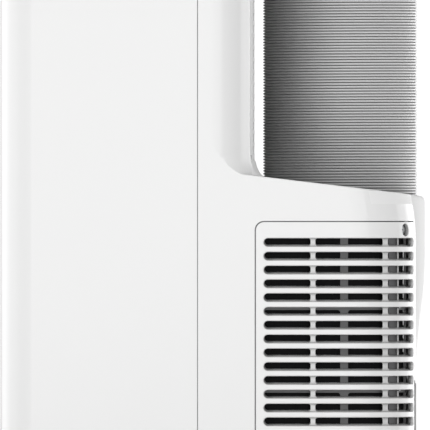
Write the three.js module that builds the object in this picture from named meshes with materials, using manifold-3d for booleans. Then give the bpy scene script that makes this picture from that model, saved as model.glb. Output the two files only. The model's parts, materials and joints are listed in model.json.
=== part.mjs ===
// Portable air conditioner on casters, with its exhaust hose stowed in an open bay behind it.
// Millimetres. +Z is up, the front faces -Y, the width runs along X.
// The origin is on the floor, at the centre of the footprint.
import * as THREE from "three";
import { mergeVertices } from "three/addons/utils/BufferGeometryUtils.js";
import Module from "manifold-3d";

const wasm = await Module();
wasm.setup();

// ---------------------------------------------------------------- driving dimensions
const HALF_W = 235; // half of the overall width
const FRONT_Y = -212.5; // front face
const REAR_Y = 201.3; // flat rear face of the lower body
const UPPER_REAR_Y = 36.3; // rear wall of the upper body at its corners; it is the bay's back wall
const BOW = 4.5; // that wall bows out by this much at its middle
const R_FRONT = 32; // plan radius of the front corners
const R_REAR = 65; // plan radius of the lower body's rear corners
const R_UPPER = 39; // plan radius of the upper body's rear corners
const WALL = 3; // casing wall
const SEAM_Y = -16.8; // joint between the front and rear casings
const SEAM = 0.5; // width of that joint
const BASE_Z0 = 30; // underside of the base
const BASE_Z1 = 70; // top of the base's rim
const CASING_Z0 = 70.5;
const CASING_Z1 = 811.6;
const COVER_Z1 = 858.6; // top of the cover
const COVER_R = 22; // its edge radius
const DECK_Z = 467.56; // deck height at DECK_Y
const DECK_Y = 53.9;
const DECK_SLOPE = 0.1192; // it falls towards the rear
const COVE = { out: 11.5, up: 25 }; // cove between the bay's back wall and the deck
const HOSE_Y = 127.2; // hose axis
const HOSE_R = 77.5; // outer radius of the hose, a nominal 150 mm duct
const HOSE_Z0 = 400;
const HOSE_Z1 = 774;
const BULGE_R = 85.3; // rear bulge around the hose socket
const SOCKET_HOLE_R = 80.5;
const PANEL_Y0 = 41.2; // side grille: front edge
const PANEL_PHI = 78; // side grille: rear edge, in degrees round the corner
const PANEL_Z0 = 81;
const PANEL_Z1 = 423.7;
const PANEL_T = 2.7;
const SLOT_PITCH = 13.714;
const SLOT_H = 9.64;
const SLOT_COUNT = 23;
const SLOT_TOP_Z = 408.09; // top of the first slot
const SLOT_Y0 = 49.4; // front end of the slots
const SLOT_PHI = 75;
const RIBS_Y = [95.1]; // vertical rib behind the slats
const RIB_W = 5;
const SCREW_PHI = 58.6;
const SCREW_Z = 415.1;
const GRILLE_PITCH = 12.07; // upper grille
const GRILLE = { x: 192, z0: 484.3, z1: 800, y0: 27.4 };
const WHEEL_R = 20;
const WHEEL_W = 16;
const TRAIL = 13; // caster offset
const CASTERS = { fl: [-180, -150], fr: [180, -150], rl: [-180, 150], rr: [180, 150] };
const OUTLET = { x: 180, z0: 690, z1: 790, y0: -212.3, y1: -118 };
const FLAP_AXIS = { y: -207, z: 700.4 };
const VANES_X = [-120, -40, 40, 120];
const VANE_Y = -165; // vane pivot
const CRANK = 14; // from the vane's pivot to its link pin
const BUTTON_X = { power: -80, mode: -40, fan: 0, down: 40, up: 80 };
const BUTTON_Y = -146;
const REAR_PANEL = { x: 140, z0: 76, z1: 262 };

// ---------------------------------------------------------------- materials
const mat = (color, roughness, metalness = 0) => new THREE.MeshStandardMaterial({ color, roughness, metalness });
const M = {
  shell: mat(0xf1f1f0, 0.45),
  base: mat(0xd9d9d7, 0.55),
  panel: mat(0x2b2c2e, 0.3),
  lens: mat(0x101214, 0.08),
  button: mat(0xe6e6e4, 0.4),
  board: mat(0x1f5a36, 0.5),
  filter: mat(0x6d6e70, 0.6),
  hose: mat(0x9a9a9a, 0.45),
  adapter: mat(0xd8d8d6, 0.5),
  rubber: mat(0x222222, 0.8),
  steel: mat(0xa9abad, 0.35, 1),
  fork: mat(0x3a3b3d, 0.55),
  fins: mat(0xb9bcbf, 0.4, 1),
  compressor: mat(0x17181a, 0.4),
  wheel: mat(0x2a2b2d, 0.55),
  duct: mat(0xc9cac8, 0.6),
  copper: mat(0xb3703f, 0.3, 1),
};

// ---------------------------------------------------------------- solids
const solid = (geometry) => {
  const g = geometry.index ? geometry.toNonIndexed() : geometry;
  g.deleteAttribute("normal");
  g.deleteAttribute("uv");
  const m = mergeVertices(g, 1e-4);
  return new wasm.Manifold(
    new wasm.Mesh({
      numProp: 3,
      vertProperties: new Float32Array(m.attributes.position.array),
      triVerts: new Uint32Array(m.index.array),
    }),
  );
};
const join = (...s) => s.flat().reduce((a, b) => a.add(b));
const cut = (a, ...s) => s.flat().reduce((x, y) => x.subtract(y), a);

const block = (x0, x1, y0, y1, z0, z1) =>
  solid(new THREE.BoxGeometry(x1 - x0, y1 - y0, z1 - z0).translate((x0 + x1) / 2, (y0 + y1) / 2, (z0 + z1) / 2));
// a cylinder along X, Y or Z, from a to b on that axis; c holds the two other coordinates in X, Y, Z order
const rod = (axis, c, r, a, b, n = 16) => {
  const g = new THREE.CylinderGeometry(r, r, b - a, n);
  if (axis === "X") g.rotateZ(-Math.PI / 2).translate((a + b) / 2, c[0], c[1]);
  if (axis === "Y") g.translate(c[0], (a + b) / 2, c[1]);
  if (axis === "Z") g.rotateX(Math.PI / 2).translate(c[0], c[1], (a + b) / 2);
  return solid(g);
};
const shapeOf = (pts) => new THREE.Shape(pts.map((p) => new THREE.Vector2(p[0], p[1])));
const extrude = (pts, depth) => new THREE.ExtrudeGeometry(shapeOf(pts), { depth, bevelEnabled: false });
const prismZ = (pts, z0, z1) => solid(extrude(pts, z1 - z0).translate(0, 0, z0));
const prismX = (pts, x0, x1) =>
  solid(
    extrude(pts, x1 - x0)
      .translate(0, 0, x0)
      .applyMatrix4(new THREE.Matrix4().makeBasis(new THREE.Vector3(0, 1, 0), new THREE.Vector3(0, 0, 1), new THREE.Vector3(1, 0, 0))),
  );
const prismY = (pts, y0, y1) => solid(extrude(pts, y1 - y0).translate(0, 0, -y1).rotateX(Math.PI / 2));
// a solid of revolution about a vertical axis; the profile is closed, as [radius, z], anticlockwise
const turned = (profile, cx, cy, n = 32) =>
  solid(
    new THREE.LatheGeometry([...profile, profile[0]].map((p) => new THREE.Vector2(p[0], p[1])), n)
      .rotateX(Math.PI / 2)
      .translate(cx, cy, 0),
  );

// a polygon with rounded corners, from [x, y, radius, steps] corners in anticlockwise order
const outline = (corners) => {
  const out = [];
  const n = corners.length;
  for (let i = 0; i < n; i++) {
    const [x, y, r = 0, steps = 4] = corners[i];
    if (r <= 0) {
      out.push([x, y]);
      continue;
    }
    const p = new THREE.Vector2(x, y);
    const a = new THREE.Vector2(...corners[(i + n - 1) % n].slice(0, 2)).sub(p).normalize();
    const b = new THREE.Vector2(...corners[(i + 1) % n].slice(0, 2)).sub(p).normalize();
    const half = Math.acos(THREE.MathUtils.clamp(a.dot(b), -1, 1)) / 2;
    const back = r / Math.tan(half);
    const centre = p.clone().add(a.clone().add(b).normalize().multiplyScalar(r / Math.sin(half)));
    const s = p.clone().add(a.clone().multiplyScalar(back)).sub(centre);
    const e = p.clone().add(b.clone().multiplyScalar(back)).sub(centre);
    const a0 = Math.atan2(s.y, s.x);
    let da = Math.atan2(e.y, e.x) - a0;
    while (da > Math.PI) da -= 2 * Math.PI;
    while (da < -Math.PI) da += 2 * Math.PI;
    for (let k = 0; k <= steps; k++) out.push([centre.x + r * Math.cos(a0 + (da * k) / steps), centre.y + r * Math.sin(a0 + (da * k) / steps)]);
  }
  return out;
};
const roundRect = (x0, x1, y0, y1, r, steps = 3) =>
  outline([
    [x0, y0, r, steps],
    [x1, y0, r, steps],
    [x1, y1, r, steps],
    [x0, y1, r, steps],
  ]);

// plan outlines of the body, inset by off
const plan = (rearY, rearR, rearSteps) => (off) =>
  outline([
    [-HALF_W + off, FRONT_Y + off, Math.max(R_FRONT - off, 0.6), 4],
    [HALF_W - off, FRONT_Y + off, Math.max(R_FRONT - off, 0.6), 4],
    [HALF_W - off, rearY - off, Math.max(rearR - off, 0.6), rearSteps],
    [-HALF_W + off, rearY - off, Math.max(rearR - off, 0.6), rearSteps],
  ]);
const lowerPlan = plan(REAR_Y, R_REAR, 4);
const bow = (x) => UPPER_REAR_Y + BOW * (1 - (x / (HALF_W - R_UPPER)) ** 2);
const upperPlan = (off) => {
  const front = plan(0, 0, 0)(off).slice(0, 10);
  const r = R_UPPER - off;
  const cx = HALF_W - R_UPPER;
  const corner = [];
  for (let k = 0; k <= 5; k++) corner.push([cx + r * Math.cos((k * Math.PI) / 10), UPPER_REAR_Y - R_UPPER + r * Math.sin((k * Math.PI) / 10)]);
  const rear = [];
  for (let k = 1; k < 8; k++) rear.push([cx * (1 - k / 4), bow(cx * (1 - k / 4)) - off]);
  return [...front, ...corner, ...rear, ...corner.map(([x, y]) => [-x, y]).reverse()];
};
const deck = (y) => DECK_Z - DECK_SLOPE * (y - DECK_Y);

// a solid through rings of [outline, z], each with the same number of points; convex rings only
const loft = (rings, lift = () => 0) => {
  const n = rings[0][0].length;
  const v = [];
  const at = (k, i) => [rings[k][0][i % n][0], rings[k][0][i % n][1], rings[k][1] + lift(rings[k][0][i % n][1])];
  for (let k = 0; k + 1 < rings.length; k++)
    for (let i = 0; i < n; i++) {
      v.push(at(k, i), at(k, i + 1), at(k + 1, i + 1));
      v.push(at(k, i), at(k + 1, i + 1), at(k + 1, i));
    }
  const last = rings.length - 1;
  for (let i = 1; i + 1 < n; i++) {
    v.push(at(0, 0), at(0, i + 1), at(0, i));
    v.push(at(last, 0), at(last, i), at(last, i + 1));
  }
  const g = new THREE.BufferGeometry();
  g.setAttribute("position", new THREE.Float32BufferAttribute(v.flat(), 3));
  return solid(g);
};

const model = new THREE.Group();
const put = (name, s, material) => {
  const m = s.getMesh();
  const g = new THREE.BufferGeometry();
  g.setAttribute("position", new THREE.BufferAttribute(new Float32Array(m.vertProperties), 3));
  g.setIndex(new THREE.BufferAttribute(new Uint32Array(m.triVerts), 1));
  const flat = g.toNonIndexed();
  flat.computeVertexNormals();
  const mesh = new THREE.Mesh(flat, material);
  mesh.name = name;
  model.add(mesh);
  return mesh;
};
const mirrored = (s) => s.mirror([1, 0, 0]);

// ---------------------------------------------------------------- casings
const lowerBody = (off, z0, z1) =>
  prismZ(lowerPlan(off), z0, z1).intersect(
    prismX(
      [
        [-300, z0 - 1],
        [300, z0 - 1],
        [300, deck(300) - off],
        [-300, deck(-300) - off],
      ],
      -300,
      300,
    ),
  );
const bulge = (off, z0) =>
  turned(
    [
      [0, z0],
      [74 - off, z0],
      [74 - off, 250 + off],
      [77.2 - off, 300],
      [82.3 - off, 345],
      [84.8 - off, 385],
      [BULGE_R - off, 400],
      [BULGE_R - off, 600],
      [0, 600],
    ],
    0,
    HOSE_Y,
    32,
  ).intersect(
    prismX(
      [
        [-300, z0 - 1],
        [300, z0 - 1],
        [300, deck(300) - off],
        [-300, deck(-300) - off],
      ],
      -300,
      300,
    ),
  );
// the cove: the upper plan grows by a quarter ellipse towards the deck, and follows its slope
const cove = (off) => {
  const rings = [[upperPlan(off - COVE.out), -30]];
  for (let k = 0; k <= 4; k++) {
    const t = (k * Math.PI) / 8;
    rings.push([upperPlan(off - COVE.out * (1 - Math.sin(t))), COVE.up * (1 - Math.cos(t)) - off]);
  }
  return loft(rings, deck).intersect(prismZ(lowerPlan(off), 400, 560));
};
const rearBody = (off, z0, z1) => join(lowerBody(off, z0, 560), prismZ(upperPlan(off), 300, z1), bulge(off, 240), cove(off));

// the side grille's field: ahead of a radial line round the rear corner, grown by g on every side
const CX = HALF_W - R_REAR;
const CY = REAR_Y - R_REAR;
const wedge = (y0, phi) => {
  const c = Math.cos(phi);
  const s = Math.sin(phi);
  return [
    [150, y0],
    [320, y0],
    [320, 330],
    [CX + 200 * c, CY + 200 * s],
    [CX, CY],
    [150, CY],
  ];
};
const field = (g) =>
  prismZ(wedge(PANEL_Y0 - g, THREE.MathUtils.degToRad(PANEL_PHI) + g / R_REAR), PANEL_Z0 - g, PANEL_Z1 + g).intersect(
    prismX(
      outline([
        [PANEL_Y0 - g, PANEL_Z0 - g, 8.5 + g * 0.6, 2],
        [400, PANEL_Z0 - g],
        [400, PANEL_Z1 + g],
        [PANEL_Y0 - g, PANEL_Z1 + g, 8.5 + g * 0.6, 2],
      ]),
      100,
      400,
    ),
  );
const skin = (a, b) => lowerBody(a, 60, 560).subtract(lowerBody(b, 50, 580));
// a rod along the corner's radius, from depth d0 to d1 under the surface
const radial = (z, r, d0, d1, n = 12) => {
  const phi = THREE.MathUtils.degToRad(SCREW_PHI);
  const mid = R_REAR - (d0 + d1) / 2;
  return solid(
    new THREE.CylinderGeometry(r, r, d1 - d0, n)
      .rotateZ(-Math.PI / 2)
      .rotateZ(phi)
      .translate(CX + mid * Math.cos(phi), CY + mid * Math.sin(phi), z),
  );
};

{
  // base with wells and sockets for the four casters
  let s = cut(prismZ(lowerPlan(0), BASE_Z0, BASE_Z1), prismZ(lowerPlan(3.5), BASE_Z0 + 3.5, BASE_Z1 + 5));
  const cavities = [];
  for (const [x, y] of Object.values(CASTERS)) {
    s = s.add(rod("Z", [x, y], 39, BASE_Z0 + 0.2, 50.5, 12)).add(rod("Z", [x, y], 10, 49, 64, 8));
    cavities.push(rod("Z", [x, y], 36, BASE_Z0 - 2, 47.5, 12), rod("Z", [x, y], 5.4, 46, 62.5, 10));
  }
  for (const [x, y] of [
    [-95, -57],
    [-145, -144],
    [-45, -144],
  ])
    s = s.add(rod("Z", [x, y], 6, BASE_Z0 + 1, 65.6, 8));
  s = cut(s, cavities);
  put("base_pan", s, M.base);
}
{
  // front casing: front and sides up to the seam, with the outlet and the grips cut out
  let s = cut(prismZ(lowerPlan(0), CASING_Z0, CASING_Z1), prismZ(lowerPlan(WALL), 0, 900)).intersect(
    block(-300, 300, -300, SEAM_Y - SEAM / 2, 0, 900),
  );
  for (const k of [-1, 1]) {
    s = s.add(block(Math.min(k * 229.2, k * 232.1), Math.max(k * 229.2, k * 232.1), SEAM_Y - 9.5, SEAM_Y - SEAM / 2, 76, 804));
    s = s.add(block(Math.min(k * 229.2, k * 231.6), Math.max(k * 229.2, k * 231.6), SEAM_Y - 1, SEAM_Y + 7.5, 76, 804));
  }
  s = s.subtract(prismY(roundRect(-OUTLET.x - 0.5, OUTLET.x + 0.5, OUTLET.z0 - 0.5, OUTLET.z1 + 0.5, 6.5, 1), -230, -200));
  s = s.subtract(prismX(roundRect(-140.4, -39.6, 711.6, 748.4, 8.4, 1), -240, 240));
  put("front_casing", s, M.shell);
}
{
  // rear casing: lower body, deck, bulge and the bay's back wall
  let s = rearBody(0, CASING_Z0, CASING_Z1).subtract(rearBody(WALL, 0, 900));
  s = s.intersect(block(-300, 300, SEAM_Y + SEAM / 2, 300, 0, 900));
  s = s.subtract(rod("Z", [0, HOSE_Y], SOCKET_HOLE_R, 380, 520, 32));
  // side grille seats
  const ledge = skin(WALL - 0.05, 6).intersect(field(7).subtract(field(-6)));
  const ledgeCut = radial(SCREW_Z, 9.2, -3, 20);
  const seat = field(0.5);
  const ledgeR = ledge.subtract(skin(-2, WALL).intersect(seat)).subtract(ledgeCut);
  s = s.subtract(seat.intersect(skin(-2, WALL + 0.01))).subtract(mirrored(seat.intersect(skin(-2, WALL + 0.01))));
  s = s.add(ledgeR).add(mirrored(ledgeR));
  // rear panel seat
  const rp = (g) => roundRect(-REAR_PANEL.x - g, REAR_PANEL.x + g, REAR_PANEL.z0 - g, REAR_PANEL.z1 + g, 10 + g * 0.5, 3);
  s = s.subtract(prismY(rp(0.5), 195, 215));
  s = s.add(prismY(rp(7), REAR_Y - 6, REAR_Y - WALL + 0.05).subtract(prismY(rp(-6), 190, 215)));
  // pocket for the upper grille, with the intake window behind it and a guide for the filter on the left
  const G = GRILLE;
  s = s.add(block(-G.x - 3.5, G.x + 3.5, G.y0 - 3.4, UPPER_REAR_Y - 1.3, G.z0 - 3.3, G.z1 + 3.3));
  s = s.add(block(-224, -G.x - 0.5, 25.4, 36, G.z0 + 0.5, 791.7).intersect(prismZ(upperPlan(0), 400, 805)));
  s = s.subtract(prismY(roundRect(-G.x - 0.5, G.x + 0.5, G.z0 - 0.3, G.z1 + 0.3, 8.4, 3), G.y0 - 0.4, 60));
  s = s.subtract(prismY(roundRect(-176, 176, 490, 784, 8, 2), 10, 60));
  s = s.subtract(block(-240, -190, 28.1, 33.5, 487.6, 788.6)).intersect(block(-300, 300, -300, 300, CASING_Z0, 900));
  put("rear_casing", s, M.shell);
}
{
  // top cover
  const rings = (off, z0) => {
    const r = COVER_R - off;
    const out = [
      [upperPlan(off), z0],
      [upperPlan(off), COVER_Z1 - COVER_R],
    ];
    for (let k = 1; k <= 3; k++) {
      const a = (k * Math.PI) / 6;
      out.push([upperPlan(off + r * (1 - Math.cos(a))), COVER_Z1 - COVER_R + r * Math.sin(a)]);
    }
    return out;
  };
  let s = loft(rings(0, 812)).subtract(loft(rings(WALL, 800)));
  s = s.subtract(prismZ(roundRect(-110, 110, -166, -86, 10, 3), 840, 880));
  put("top_cover", s, M.shell);
}

// ---------------------------------------------------------------- controls
{
  let s = prismZ(roundRect(-109.6, 109.6, -165.6, -86.4, 9.6, 3), 852.9, COVER_Z1).add(
    prismZ(roundRect(-114, 114, -170, -82, 11, 3), 852.9, 855.3),
  );
  s = s.subtract(prismZ(roundRect(-36, 36, -121, -97, 4, 2), 840, 870));
  for (const x of Object.values(BUTTON_X)) s = s.subtract(rod("Z", [x, BUTTON_Y], 9.4, 840, 870, 12));
  put("control_panel", s, M.panel);
  put(
    "display_lens",
    prismZ(roundRect(-35.7, 35.7, -120.7, -97.3, 3.7, 2), 852, 858.9).add(prismZ(roundRect(-38.5, 38.5, -123.5, -94.5, 4.5, 2), 850.8, 852.6)),
    M.lens,
  );
  for (const [name, x] of Object.entries(BUTTON_X))
    put(
      "button_" + name,
      rod("Z", [x, BUTTON_Y], 9, 851, 860, 12).add(rod("Z", [x, BUTTON_Y], 10.8, 851, 852.6, 12)),
      M.button,
    );
  put("control_board", block(-100, 100, -160, -92, 842, 843.6), M.board);
}

// ---------------------------------------------------------------- outlet
{
  const o = OUTLET;
  let s = prismY(roundRect(-o.x, o.x, o.z0, o.z1, 6, 1), o.y0, o.y1)
    .add(prismY(roundRect(-o.x - 6, o.x + 6, o.z0 - 6, o.z1 + 6, 9, 1), -209.2, -206.4))
    .subtract(prismY(roundRect(-o.x + 4, o.x - 4, o.z0 + 4, o.z1 - 4, 0, 1), -230, -100));
  for (const k of [-1, 1]) s = s.subtract(rod("X", [FLAP_AXIS.y, FLAP_AXIS.z], 3.5, k > 0 ? 175 : -178.6, k > 0 ? 178.6 : -175, 10));
  for (const x of VANES_X) s = s.subtract(rod("Z", [x, VANE_Y], 2.6, 691.2, 695, 8)).subtract(rod("Z", [x, VANE_Y], 2.6, 785, 788.8, 8));
  put("outlet_frame", s, M.duct);

  let f = block(-174.8, 174.8, -211.8, -209, 697.2, 784.8);
  for (const k of [-1, 1]) {
    const a = k > 0 ? 168 : -174.8;
    f = f.add(block(a, a + 6.8, -210, -203.6, 697.4, 703.6));
    f = f.add(rod("X", [FLAP_AXIS.y, FLAP_AXIS.z], 3, k > 0 ? 172 : -178, k > 0 ? 178 : -172, 10));
  }
  put("outlet_flap", f, M.shell);

  VANES_X.forEach((x, i) => {
    const v = prismX(
      [
        [-178, 697],
        [-160, 697],
        [-160, 706],
        [-140, 706],
        [-140, 783],
        [-178, 783],
      ],
      x - 1,
      x + 1,
    )
      .add(rod("Z", [x, VANE_Y], 2, 692, 788, 8))
      .add(rod("Z", [x, VANE_Y + CRANK], 1.5, 698, 708, 6));
    put("vane_" + (i + 1), v, M.duct);
  });
  let l = block(-132, 132, -158.5, -146, 699.5, 703);
  for (const x of VANES_X) l = l.subtract(block(x - 2.4, x + 2.4, -156, -148.6, 690, 710));
  put("vane_link", l, M.duct);
}

// ---------------------------------------------------------------- carry handles
{
  const r = (g) => roundRect(-139.8 - g, -40.2 + g, 712.2 - g, 747.8 + g, 7.6 + g * 0.5, 1);
  const s = prismX(r(0), 207, 234.8)
    .add(prismX(r(6), 228.9, 231.6))
    .subtract(prismX(r(-3), 210, 240));
  put("handle_right", s, M.shell);
  put("handle_left", mirrored(s), M.shell);
}

// ---------------------------------------------------------------- side grilles and their filters
{
  let slots = [];
  for (let k = 0; k < SLOT_COUNT; k++) {
    const z1 = SLOT_TOP_Z - k * SLOT_PITCH;
    const z0 = z1 - SLOT_H;
    slots.push(
      prismX(
        outline([
          [SLOT_Y0, z0],
          [400, z0],
          [400, z1],
          [SLOT_Y0, z1],
        ]),
        100,
        400,
      ),
    );
  }
  const slotWedge = prismZ(wedge(SLOT_Y0 - 1, THREE.MathUtils.degToRad(SLOT_PHI)), 60, 440);
  let s = skin(0, PANEL_T).intersect(field(0));
  s = s.subtract(join(slots).intersect(slotWedge));
  const rib = join(RIBS_Y.map((y) => block(150, 260, y, y + RIB_W, PANEL_Z0 + 7, PANEL_Z1 - 7)));
  s = s.add(skin(PANEL_T - 0.2, 7.6).intersect(rib));
  s = s.add(radial(SCREW_Z, 8, 1, 8)).subtract(radial(SCREW_Z, 6.2, -3, 5.6)).subtract(radial(SCREW_Z, 2.4, 0, 12, 8));
  put("side_grille_right", s, M.shell);
  put("side_grille_left", mirrored(s), M.shell);

  // filter frame: a rim, two posts and rungs, with its mesh on the inside
  const bars = [];
  bars.push(block(100, 300, 124.5, 132.5, 70, 440), block(100, 300, 172.8, 182.2, 70, 440));
  for (let k = 1; k < 4; k++) bars.push(block(100, 300, 30, 300, 339 - (k - 1) * 6 * SLOT_PITCH - 3.5, 339 - (k - 1) * 6 * SLOT_PITCH));
  let f = skin(8.4, 11)
    .intersect(field(3))
    .intersect(join(field(10).subtract(field(-8)), bars))
    .add(skin(10.6, 11.4).intersect(field(3)));
  f = f.subtract(radial(SCREW_Z, 9.4, -3, 30));
  put("side_filter_right", f, M.filter);
  put("side_filter_left", mirrored(f), M.filter);

  const screw = radial(SCREW_Z, 5.2, 3, 5.3).add(radial(SCREW_Z, 2, 5, 14, 8));
  put("grille_screw_right", screw, M.steel);
  put("grille_screw_left", mirrored(screw), M.steel);
}

// ---------------------------------------------------------------- rear panel with the cord gland and the drain cap
{
  const p = roundRect(-REAR_PANEL.x, REAR_PANEL.x, REAR_PANEL.z0, REAR_PANEL.z1, 10, 3);
  const s = prismY(p, REAR_Y - 2.7, REAR_Y + 0.9).subtract(rod("Y", [80, 112], 10.8, 190, 215, 12)).subtract(rod("Y", [-60, 100], 8.6, 190, 215, 12));
  put("rear_lower_panel", s, M.shell);
  put(
    "cord_gland",
    rod("Y", [80, 112], 14, REAR_Y + 1.2, REAR_Y + 4, 12).add(rod("Y", [80, 112], 10.4, REAR_Y - 8.6, REAR_Y + 7.4, 12)).subtract(rod("Y", [80, 112], 4.4, 180, 220, 12)),
    M.rubber,
  );
  put("drain_cap", rod("Y", [-60, 100], 14, REAR_Y + 1.2, REAR_Y + 8.8, 12).add(rod("Y", [-60, 100], 8, REAR_Y - 12.6, REAR_Y + 2.4, 12)), M.rubber);
}

// ---------------------------------------------------------------- upper grille and its filter, on the bay's back wall
{
  const G = GRILLE;
  const outer = [[-G.x, G.y0], [G.x, G.y0]];
  for (let k = 0; k <= 8; k++) outer.push([G.x * (1 - k / 4), bow(G.x * (1 - k / 4))]);
  let s = prismZ(outer, G.z0, G.z1).intersect(prismY(roundRect(-G.x, G.x, G.z0, G.z1, 8, 3), 20, 60));
  s = s.subtract(prismY(roundRect(-184, 184, 487.5, 790, 3, 1), 20, 34.7));
  const slits = [];
  for (let k = 0; k < 25; k++) {
    const z = 491.3 + k * GRILLE_PITCH;
    slits.push(block(-180, 180, 28, 50, z, z + 7.4));
  }
  s = s.subtract(join(slits));
  s = s.subtract(block(-200, -180, 28.1, 33.5, 487.6, 788.6));
  put("upper_grille", s, M.shell);

  let f = block(-209.5, 181, 28.7, 32.9, 488.2, 788);
  for (let i = 0; i < 3; i++)
    for (let j = 0; j < 2; j++) f = f.subtract(block(-180 + i * 120, -180 + i * 120 + 112, 29.7, 40, 494 + j * 146, 494 + j * 146 + 138));
  put("upper_filter", f, M.filter);
}

// ---------------------------------------------------------------- exhaust hose
{
  const top = prismX(
    [
      [-300, 300],
      [300, 300],
      [300, deck(300) - 0.4],
      [-300, deck(-300) - 0.4],
    ],
    -300,
    300,
  );
  const socket = turned(
    [
      [70, 396],
      [80, 396],
      [80, 500],
      [78.1, 500],
      [78.1, 399],
      [70, 399],
    ],
    0,
    HOSE_Y,
    20,
  ).intersect(top);
  put("hose_socket", socket, M.adapter);

  put(
    "exhaust_hose",
    turned(
      [
        [HOSE_R - 3, HOSE_Z0],
        [HOSE_R, HOSE_Z0],
        [HOSE_R, HOSE_Z1],
        [HOSE_R - 3, HOSE_Z1],
      ],
      0,
      HOSE_Y,
      20,
    ),
    M.hose,
  );

  // from a round sleeve to an oblong nozzle
  const N = 20;
  const ring = (hx, hy) => {
    const out = [];
    const r = Math.min(hx, hy);
    for (let i = 0; i < N; i++) {
      const a = ((i + 0.5) * 2 * Math.PI) / N;
      out.push([r * Math.cos(a) + Math.sign(Math.cos(a)) * (hx - r), HOSE_Y + r * Math.sin(a) + Math.sign(Math.sin(a)) * (hy - r)]);
    }
    return out;
  };
  const shell = (t, z0, z1) =>
    loft([
      [ring(81.8 - t, 81.8 - t), z0],
      [ring(81.8 - t, 81.8 - t), 778],
      [ring(112 - t, 60 - t), 800],
      [ring(140 - t, 44 - t), 815],
      [ring(150 - t, 38 - t), 824],
      [ring(150 - t, 38 - t), z1],
    ]);
  const s = shell(0, 748, 848).subtract(shell(2.5, 740, 860));
  const stop = turned(
    [
      [72, 774.5],
      [80, 774.5],
      [80, 777],
      [72, 777],
    ],
    0,
    HOSE_Y,
    12,
  );
  put("window_adapter", s.add(stop), M.adapter);
}

// ---------------------------------------------------------------- casters
for (const [name, [x, y]] of Object.entries(CASTERS)) {
  const rel = (pts) => pts.map(([a, b]) => [y + a, b]);
  let s = prismX(
    rel([
      [-10, 44],
      [-3, 30],
      [5, 15],
      [20, 15],
      [21, 32],
      [14, 44],
    ].reverse()),
    x - 12,
    x + 12,
  ).add(rod("Z", [x, y], 12.5, 42, 46, 8));
  s = s.add(rod("Z", [x, y], 5, 44, 61, 8));
  s = s.subtract(block(x - 9, x + 9, y - 60, y + 60, 5, 41.6)).subtract(rod("X", [y + TRAIL, WHEEL_R], 2.9, x - 20, x + 20, 8));
  put("caster_fork_" + name, s, M.fork);
  // a flat of the tread faces the floor
  const tread = new THREE.CylinderGeometry(WHEEL_R / Math.cos(Math.PI / 20), WHEEL_R / Math.cos(Math.PI / 20), WHEEL_W, 20)
    .rotateZ(-Math.PI / 2)
    .rotateX(Math.PI / 20)
    .translate(x, y + TRAIL, WHEEL_R);
  put("caster_wheel_" + name, solid(tread).subtract(rod("X", [y + TRAIL, WHEEL_R], 2.9, x - 20, x + 20, 8)), M.rubber);
  put("caster_axle_" + name, rod("X", [y + TRAIL, WHEEL_R], 2.4, x - 12.8, x + 12.8, 8), M.steel);
}

// ---------------------------------------------------------------- inside
{
  // compressor with its suction accumulator
  const s = turned(
    [
      [0, 66],
      [68, 66],
      [68, 70],
      [58, 70],
      [60, 90],
      [60, 260],
      [52, 284],
      [30, 295],
      [6, 297],
      [6, 301],
      [0, 301],
    ],
    -95,
    -115,
    14,
  )
    .add(
      turned(
        [
          [0, 112],
          [12, 116],
          [22, 128],
          [22, 240],
          [12, 254],
          [5, 256],
          [5, 262],
          [0, 262],
        ],
        -8,
        -115,
        10,
      ),
    )
    .add(block(-45, -20, -121, -109, 180, 192))
    .add(block(-45, -12, -119, -111, 116, 124));
  put("compressor", s, M.compressor);
}
{
  // condenser: a block of fins and tube, U-shaped in plan, open to the rear
  const s = prismZ(
    outline([
      [-205, 28, 14, 2],
      [205, 28, 14, 2],
      [205, 160],
      [181, 160],
      [181, 46],
      [-181, 46],
      [-181, 160],
      [-205, 160],
    ]),
    92,
    430,
  );
  put("condenser_coil", s, M.fins);
  put("evaporator_coil", block(-184, 172, -12, 18, 484, 790).add(join([520, 580, 640, 700, 760].map((z) => rod("X", [3, z], 5, 171, 186, 8)))), M.fins);
}
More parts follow.
